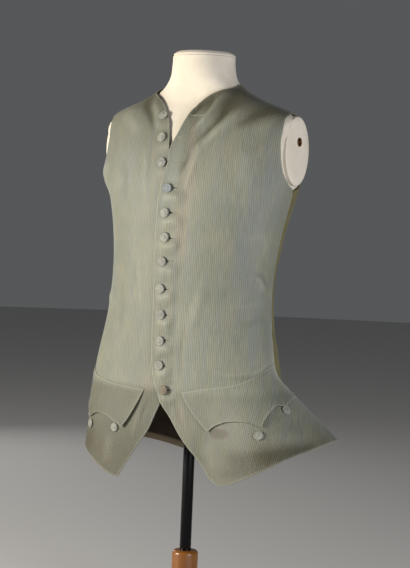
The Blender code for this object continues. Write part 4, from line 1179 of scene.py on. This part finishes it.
def silk(name, base, warm, cool, ribs_deep):
    """Ribbed silk, hand-woven of uneven yarn: fine upright ribs, faded in bands, with a soft low sheen.

    The real ribs are about 0.7 mm apart, too fine to show, so they are drawn 3.6 mm apart.
    """
    rib_pitch = 0.0036
    tree, finish, shader = new_finish(name)
    cloth = add_node(tree, "ShaderNodeUVMap", uv_map="cloth").outputs[0]
    # Each pattern's width across the ribs and length along them, its detail, and where it starts
    patterns = [
        (0.0022, 0.030, 3.0, 0.0),
        (0.014, 0.16, 2.0, 7.3),
        (0.055, 0.075, 3.0, 3.1),
        (0.0011, 0.0030, 2.0, 1.7),
    ]
    noises = []
    for width, length, detail, start in patterns:
        stretch = {"Vector": cloth, "Scale": (1 / width, 1 / length, 1.0), "Location": (start, start, 0)}
        place = add_node(tree, "ShaderNodeMapping", stretch).outputs[0]
        settings = {"Vector": place, "Scale": 1.0, "Detail": detail, "Roughness": 0.6}
        noises.append(add_node(tree, "ShaderNodeTexNoise", settings).outputs["Fac"])
    slub, band, cloud, grain = noises
    settings = {"Vector": cloth, "Scale": 0.314 / rib_pitch, "Distortion": 1.0, "Detail": 2.0}
    settings["Detail Scale"] = 1.4
    bands = {"wave_type": "BANDS", "bands_direction": "X"}
    ribs = add_node(tree, "ShaderNodeTexWave", settings, **bands).outputs["Fac"]

    # Each tone laid over the last: its mark, the noise that breaks it up (or none) with how much, its colour
    colour = linear(base)
    tones = [
        (None, cloud, (0.40, 0.66, 0.0, 0.75), warm),
        (None, band, (0.42, 0.68, 0.0, 0.55), cool),
        ("blue", slub, (0.3, 0.7, 0.35, 0.75), "959A99"),
        ("tan", slub, (0.35, 0.65, 0.25, 0.70), "A8927B"),
        # The darkening mark holds soil and the painted shade in the creases' troughs, and the pale mark
        # holds paling near the edges and the painted highlight on the ridges
        ("soil", grain, (0.30, 0.62, 0.55, 1.0), "4B4836"),
        ("pale", None, 0.55, "C2C2AE"),
        ("stain", None, 0.70, "5E574A"),
    ]
    for mark, noise, span, tone in tones:
        share = span
        if noise is not None:
            inputs = {"Value": noise, **dict(enumerate(span, 1))}
            share = add_node(tree, "ShaderNodeMapRange", inputs).outputs[0]
        if mark:
            amount = add_node(tree, "ShaderNodeAttribute", attribute_name=mark).outputs["Fac"]
            share = add_node(tree, "ShaderNodeMath", {0: amount, 1: share}, operation="MULTIPLY").outputs[0]
        inputs = {MIX: share, FIRST: colour, SECOND: linear(tone)}
        colour = add_node(tree, "ShaderNodeMix", inputs, data_type="RGBA").outputs[MIXED]

    light, relief = 0.0, 0.0
    shades = [
        (slub, (0.28, 0.72, 0.82, 1.14), 0.8),
        (ribs, (0.0, 1.0, -0.20, 0.12), 1.0),
        (grain, (0.25, 0.75, -0.09, 0.08), 0.6),
    ]
    for noise, span, raised in shades:
        inputs = {"Value": noise, **dict(enumerate(span, 1))}
        share = add_node(tree, "ShaderNodeMapRange", inputs).outputs[0]
        light = add_node(tree, "ShaderNodeMath", {0: light, 1: share}, operation="ADD").outputs[0]
        inputs = {0: noise, 1: raised, 2: relief}
        relief = add_node(tree, "ShaderNodeMath", inputs, operation="MULTIPLY_ADD").outputs[0]
    toned = add_node(tree, "ShaderNodeHueSaturation", {"Color": colour, "Value": light}).outputs[0]
    bump = add_node(tree, "ShaderNodeBump", {"Height": relief, "Strength": 0.55, "Distance": ribs_deep})
    rough = add_node(tree, "ShaderNodeMapRange", {"Value": slub, 1: 0.3, 2: 0.7, 3: 0.50, 4: 0.66})
    feed(tree, shader, {"Base Color": toned, "Normal": bump.outputs[0], "Roughness": rough.outputs[0]})
    feed(tree, shader, {"Sheen Weight": 0.12, "Sheen Roughness": 0.45, "Specular IOR Level": 0.38})
    return finish


def plain_cloth(name, base, dark, pitch, mottle):
    """A plain-woven or twilled dull cloth in which only the yarns' unevenness shows."""
    tree, finish, shader = new_finish(name)
    cloth = add_node(tree, "ShaderNodeUVMap", uv_map="cloth").outputs[0]
    turn = {"Vector": cloth, "Rotation": (0, 0, math.radians(63))}
    turned = add_node(tree, "ShaderNodeMapping", turn).outputs[0]
    settings = {"Vector": turned, "Scale": 0.314 / pitch, "Distortion": 1.2, "Detail": 2.0}
    twill = add_node(tree, "ShaderNodeTexWave", settings).outputs["Fac"]
    spots = add_node(tree, "ShaderNodeTexNoise", {"Vector": cloth, "Scale": 1 / mottle, "Detail": 4.0})
    yarn = add_node(tree, "ShaderNodeTexNoise", {"Vector": cloth, "Scale": 420.0, "Detail": 2.0})
    ramp = add_node(tree, "ShaderNodeMapRange", {"Value": spots.outputs["Fac"], 1: 0.35, 2: 0.65})
    # The darkening mark: soil, and on a front's reverse also the painted shade in the creases' troughs
    soil = add_node(tree, "ShaderNodeAttribute", attribute_name="soil").outputs["Fac"]
    hem = add_node(tree, "ShaderNodeAttribute", attribute_name="hem").outputs["Fac"]
    colour = linear(base)
    for share, tone in ((ramp.outputs[0], dark), (soil, dark), (hem, "8A8068")):
        inputs = {MIX: share, FIRST: colour, SECOND: linear(tone)}
        colour = add_node(tree, "ShaderNodeMix", inputs, data_type="RGBA").outputs[MIXED]
    both = add_node(tree, "ShaderNodeMath", {0: twill, 1: yarn.outputs["Fac"]}, operation="ADD")
    span = {"Value": both.outputs[0], 1: 0.3, 2: 1.7, 3: 0.84, 4: 1.14}
    light = add_node(tree, "ShaderNodeMapRange", span)
    toned = add_node(tree, "ShaderNodeHueSaturation", {"Color": colour, "Value": light.outputs[0]})
    bump = add_node(tree, "ShaderNodeBump", {"Height": both.outputs[0], "Strength": 0.5, "Distance": 0.0004})
    feed(tree, shader, {"Base Color": toned.outputs[0], "Normal": bump.outputs[0], "Roughness": 0.82})
    feed(tree, shader, {"Sheen Weight": 0.15, "Specular IOR Level": 0.25})
    return finish


def object_noise(tree, scale, detail, stretch=(1, 1, 1)):
    """A noise that is fixed in the object, stretched along its axes."""
    place = add_node(tree, "ShaderNodeTexCoord").outputs["Object"]
    turned = add_node(tree, "ShaderNodeMapping", {"Vector": place, "Scale": stretch}).outputs[0]
    settings = {"Vector": turned, "Scale": scale, "Detail": detail}
    return add_node(tree, "ShaderNodeTexNoise", settings).outputs["Fac"]


def two_tones(tree, factor, low, high, first, second):
    """A colour between two, as a value goes from low to high."""
    ramp = add_node(tree, "ShaderNodeMapRange", {"Value": factor, 1: low, 2: high})
    inputs = {MIX: ramp.outputs[0], FIRST: linear(first), SECOND: linear(second)}
    return add_node(tree, "ShaderNodeMix", inputs, data_type="RGBA").outputs[MIXED]


def button_silk(name, base, worn):
    """Silk drawn over a wooden mould: the same cloth, greyer with handling, its weave turned any way."""
    tree, finish, shader = new_finish(name)
    cloud = object_noise(tree, 130.0, 3.0)
    weave = object_noise(tree, 900.0, 2.0, (1, 1, 0.35))
    colour = two_tones(tree, cloud, 0.35, 0.68, base, worn)
    light = add_node(tree, "ShaderNodeMapRange", {"Value": weave, 1: 0.3, 2: 0.7, 3: 0.80, 4: 1.18})
    toned = add_node(tree, "ShaderNodeHueSaturation", {"Color": colour, "Value": light.outputs[0]})
    bump = add_node(tree, "ShaderNodeBump", {"Height": weave, "Strength": 0.6, "Distance": 0.0004})
    feed(tree, shader, {"Base Color": toned.outputs[0], "Normal": bump.outputs[0], "Roughness": 0.58})
    feed(tree, shader, {"Sheen Weight": 0.10, "Specular IOR Level": 0.35})
    return finish


def silk_twist(name, colour, dark):
    """Twisted silk thread, a little shinier than the cloth."""
    tree, finish, shader = new_finish(name)
    colour = two_tones(tree, object_noise(tree, 1500.0, 2.0), 0.35, 0.65, colour, dark)
    feed(tree, shader, {"Base Color": colour, "Roughness": 0.48, "Sheen Weight": 0.1})
    return finish


def form_skin():
    """Calico stretched over a moulded form and sized: matt, cream, faintly mottled, hardly a weave."""
    tree, finish, shader = new_finish("sized_calico")
    cloud = object_noise(tree, 22.0, 3.0)
    weave = object_noise(tree, 1400.0, 2.0)
    colour = two_tones(tree, cloud, 0.35, 0.70, "DED5C3", "D2C7B2")
    light = add_node(tree, "ShaderNodeMapRange", {"Value": weave, 1: 0.3, 2: 0.7, 3: 0.95, 4: 1.04})
    toned = add_node(tree, "ShaderNodeHueSaturation", {"Color": colour, "Value": light.outputs[0]})
    bump = add_node(tree, "ShaderNodeBump", {"Height": weave, "Strength": 0.3, "Distance": 0.0003})
    feed(tree, shader, {"Base Color": toned.outputs[0], "Normal": bump.outputs[0], "Roughness": 0.72})
    feed(tree, shader, {"Specular IOR Level": 0.30, "Sheen Weight": 0.08})
    return finish


def aged_brass():
    """Turned brass that has darkened: warm, half bright on the rim, mottled with brown; the dark brown deep
    in the bore is painted shade.
    """
    tree, finish, shader = new_finish("aged_brass_turned")
    cloud = object_noise(tree, 260.0, 3.0)
    colour = two_tones(tree, cloud, 0.38, 0.66, "A9853F", "5E3D22")
    rough = add_node(tree, "ShaderNodeMapRange", {"Value": cloud, 1: 0.35, 2: 0.65, 3: 0.28, 4: 0.55})
    feed(tree, shader, {"Base Color": colour, "Metallic": 1.0, "Roughness": rough.outputs[0]})
    return finish


def cup_shadow():
    """The inside of the brass cup's bore, dark brown and dull: painted shade for the hollow."""
    tree, finish, shader = new_finish("dull_brass_inside")
    colour = two_tones(tree, object_noise(tree, 300.0, 2.0), 0.35, 0.65, "4A2413", "2A120A")
    feed(tree, shader, {"Base Color": colour, "Metallic": 0.4, "Roughness": 0.6})
    return finish


def black_enamel():
    """Stove enamel on a steel tube: near black, smooth and wet-looking, with a trace of dust."""
    tree, finish, shader = new_finish("black_stove_enamel")
    dust = object_noise(tree, 60.0, 4.0, (1, 1, 0.3))
    colour = two_tones(tree, dust, 0.45, 0.85, "020203", "070709")
    rough = add_node(tree, "ShaderNodeMapRange", {"Value": dust, 1: 0.35, 2: 0.75, 3: 0.06, 4: 0.12})
    feed(tree, shader, {"Base Color": colour, "Roughness": rough.outputs[0]})
    feed(tree, shader, {"Specular IOR Level": 0.20})
    return finish


def varnished_beech():
    """Turned beech under amber varnish: upright grain about 2 mm apart, short dark flecks, satin gloss."""
    grain_width, fleck_width = 0.0022, 0.0011
    tree, finish, shader = new_finish("varnished_beech_turned")
    grain = object_noise(tree, 1 / grain_width, 4.0, (1, 1, 0.06))
    fleck = object_noise(tree, 1 / fleck_width, 2.0, (1, 1, 0.12))
    wide = object_noise(tree, 30.0, 2.0, (1, 1, 0.2))
    colour = two_tones(tree, wide, 0.35, 0.70, "8F5819", "764512")
    darker = add_node(tree, "ShaderNodeMapRange", {"Value": fleck, 1: 0.60, 2: 0.72, 3: 1.0, 4: 0.62})
    light = add_node(tree, "ShaderNodeMapRange", {"Value": grain, 1: 0.3, 2: 0.7, 3: 0.82, 4: 1.12})
    tones = {0: darker.outputs[0], 1: light.outputs[0]}
    both = add_node(tree, "ShaderNodeMath", tones, operation="MULTIPLY")
    toned = add_node(tree, "ShaderNodeHueSaturation", {"Color": colour, "Value": both.outputs[0]})
    bump = add_node(tree, "ShaderNodeBump", {"Height": grain, "Strength": 0.25, "Distance": 0.0003})
    feed(tree, shader, {"Base Color": toned.outputs[0], "Normal": bump.outputs[0], "Roughness": 0.36})
    feed(tree, shader, {"Coat Weight": 0.35, "Coat Roughness": 0.15})
    return finish


def slit_dark():
    """The shadow inside an open buttonhole: brown-black and quite matt, so that it never catches light."""
    _, finish, shader = new_finish("buttonhole_inside")
    shader.inputs["Base Color"].default_value = linear("15100C")
    shader.inputs["Roughness"].default_value = 1.0
    shader.inputs["Specular IOR Level"].default_value = 0.0
    return finish


def studio_paper():
    """Seamless matt paper for the floor, plain and pale."""
    _, finish, shader = new_finish("pale_seamless_paper")
    shader.inputs["Base Color"].default_value = linear("C9C8C5")
    shader.inputs["Roughness"].default_value = 0.9
    return finish


# The cloths and other finishes. The silk's fronts are faded sage green, streaked with tan and blue-grey
SILK = silk("sage_ribbed_silk_woven", "7F8170", "8C8A76", "7B817B", 0.0004)
BACK_CLOTH = plain_cloth("olive_worsted_back_cloth", "736D3E", "615B36", 0.0016, 0.05)
# The cloth's reverse on the inner faces, its brown darkened near to black as painted shade for the
# waistcoat's unlit inside
REVERSE = plain_cloth("brown_linen_reverse", "3F3529", "2C2419", 0.0014, 0.04)
BUTTON_SILK = button_silk("silk_over_wooden_mould", "96958A", "787970")
BUTTON_SILK_BLUE = button_silk("silk_over_mould_rubbed_blue", "83898A", "6C7273")
BUTTON_SILK_BROWN = button_silk("silk_over_mould_browned", "7C755F", "645747")
TWIST = silk_twist("sage_silk_buttonhole_twist", "93937F", "77776A")
SLIT_DARK = slit_dark()
FORM_SKIN = form_skin()
BRASS = aged_brass()
CUP_SHADOW = cup_shadow()
BLACK_ENAMEL = black_enamel()
BEECH = varnished_beech()


def build_cloth():
    """The waistcoat's four panels and two pocket flaps, with the left front's buttonholes and the stitches
    along both fronts' edges.
    """
    left_folds = LEFT_FOLDS + button_pulls(CLOSED_BUTTONS, 1.0)
    on_left, left_creases = worn_front(LEAN_LEFT, overlap_rise, left_folds, LEFT_SWELLS)
    left_marks = front_marks(1, left_creases)
    left = (1, LEFT_FRONT_EDGE, LEFT_HEM, LEAN_LEFT, on_left, left_marks)
    front_left = build_front("silk_front_left", "front_left", *left)
    right_folds = RIGHT_FOLDS + button_pulls(RIGHT_NECK_BUTTONS, 0.4)
    right_wear = (lambda bearing: 0.0 * bearing, right_folds, RIGHT_SWELLS)
    on_right, right_creases = worn_front(LEAN_RIGHT, *right_wear)
    right_marks = front_marks(-1, right_creases)
    right = (-1, RIGHT_FRONT_EDGE, RIGHT_HEM, LEAN_RIGHT, on_right, right_marks)
    front_right = build_front("silk_front_right", "front_right", *right)
    back_left = build_back("cloth_back_left", "back_left", 1, LEFT_SWELLS)
    back_right = build_back("cloth_back_right", "back_right", -1, RIGHT_SWELLS)
    left = (1, LEFT_FLAP_TOP, LEFT_FLAP_HEM, LEAN_LEFT, on_left, left_marks)
    flap_left = build_flap("silk_pocket_flap_left", "pocket_flap_left", *left)
    right = (-1, RIGHT_FLAP_TOP, RIGHT_FLAP_HEM, LEAN_RIGHT, on_right, right_marks)
    flap_right = build_flap("silk_pocket_flap_right", "pocket_flap_right", *right)
    cords, slits = build_buttonholes(on_left)
    left = (on_left, LEFT_FRONT_EDGE, LEFT_HEM, SIDE_EDGE, 1)
    stitches_left = stitch_front("edge_stitches_left", *left)
    right = (on_right, RIGHT_FRONT_EDGE, RIGHT_HEM, RIGHT_SIDE_EDGE, -1)
    stitches_right = stitch_front("edge_stitches_right", *right)


def stitch_front(name, on_front, front_edge, hem, side_edge, side):
    """The stitches along a front's own edge, its hem and its armhole."""
    armhole = [row for row in side_edge if row.row >= 17]

    def down_front(share):
        return curve_through(front_edge, share * ROWS)

    def along_hem(share):
        return curve_through(hem, share)

    def round_armhole(share):
        bearing, height = curve_through(armhole, 17 + share * (ROWS - 17))
        return side * bearing, height

    paths = [(down_front, -side), (along_hem, side), (round_armhole, side)]
    return build_edge_stitches(name, on_front, paths)


def light_from(name, place, target, size, watts, tint):
    """A soft square studio light that faces a point."""
    light = bpy.data.lights.new(name, "AREA")
    light.size = size
    light.energy = watts
    light.color = linear(tint)[:3]
    lamp = bpy.data.objects.new(name, light)
    lamp.location = place
    lamp.rotation_euler = (Vector(target) - Vector(place)).to_track_quat("-Z", "Y").to_euler()
    bpy.context.scene.collection.objects.link(lamp)


def set_stage():
    """A plain pale floor, soft light from the viewer's left with a weaker one from the right."""
    floor = bmesh.new()
    bmesh.ops.create_circle(floor, cap_ends=True, segments=96, radius=9.0)
    mesh = bpy.data.meshes.new("floor")
    floor.to_mesh(mesh)
    floor.free()
    mesh.materials.append(studio_paper())
    ground = bpy.data.objects.new("floor", mesh)
    bpy.context.scene.collection.objects.link(ground)

    world = bpy.data.worlds.new("studio")
    bpy.context.scene.world = world
    world.use_nodes = True
    shade = world.node_tree.nodes["Background"].inputs
    shade["Color"].default_value = linear("C4C6CA")
    shade["Strength"].default_value = 0.17
    chest = (0.0, -0.05, 0.70)
    light_from("key", (-1.85, -2.05, 0.95), chest, 0.8, 108.0, "FFF9F0")
    light_from("fill", (2.5, -0.9, 0.80), chest, 1.0, 46.0, "F4F6FF")
    light_from("rim", (-2.0, 1.3, 1.0), chest, 1.0, 6.0, "FFFFFF")


def set_camera():
    """A level studio camera, turned 33 degrees towards the wearer's left, as in the photograph."""
    azimuth, roll = math.radians(33.0), math.radians(2.3)
    focal_pixels, frame_width, frame_height = 1550.0, 410, 568
    distance, eye_height = 2.945, 0.76
    pitch = math.atan((frame_height / 2 - 215.0) / focal_pixels)
    yaw = math.atan((frame_width / 2 - 195.8) / focal_pixels)
    ahead = Vector((-math.sin(azimuth), math.cos(azimuth), 0))
    right = Vector((math.cos(azimuth), math.sin(azimuth), 0))
    up = Vector((0, 0, 1))
    place = Vector((distance * math.sin(azimuth), -distance * math.cos(azimuth), eye_height))
    turned = ahead * math.cos(yaw) + right * math.sin(yaw)
    side = right * math.cos(yaw) - ahead * math.sin(yaw)
    looking = turned * math.cos(pitch) - up * math.sin(pitch)
    above = up * math.cos(pitch) + turned * math.sin(pitch)
    head = above * math.cos(roll) - side * math.sin(roll)
    across = side * math.cos(roll) + above * math.sin(roll)
    camera = bpy.data.objects.new("camera", bpy.data.cameras.new("camera"))
    camera.data.sensor_width = 36.0
    camera.data.lens = focal_pixels / frame_height * 36.0
    camera.matrix_world = Matrix.Translation(place) @ Matrix((across, head, -looking)).transposed().to_4x4()
    bpy.context.scene.collection.objects.link(camera)
    bpy.context.scene.camera = camera
    bpy.context.scene.view_settings.view_transform = "Standard"


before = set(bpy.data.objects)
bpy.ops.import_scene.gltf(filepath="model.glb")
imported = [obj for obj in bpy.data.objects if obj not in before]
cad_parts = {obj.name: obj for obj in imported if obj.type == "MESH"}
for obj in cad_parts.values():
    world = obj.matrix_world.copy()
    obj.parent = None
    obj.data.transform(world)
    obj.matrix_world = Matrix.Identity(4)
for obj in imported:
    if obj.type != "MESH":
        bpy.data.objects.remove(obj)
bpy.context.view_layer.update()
set_camera()
set_stage()
build_form()
build_arm_plate("left", 1)
build_arm_plate("right", -1)
build_stand()
build_cloth()
build_buttons()
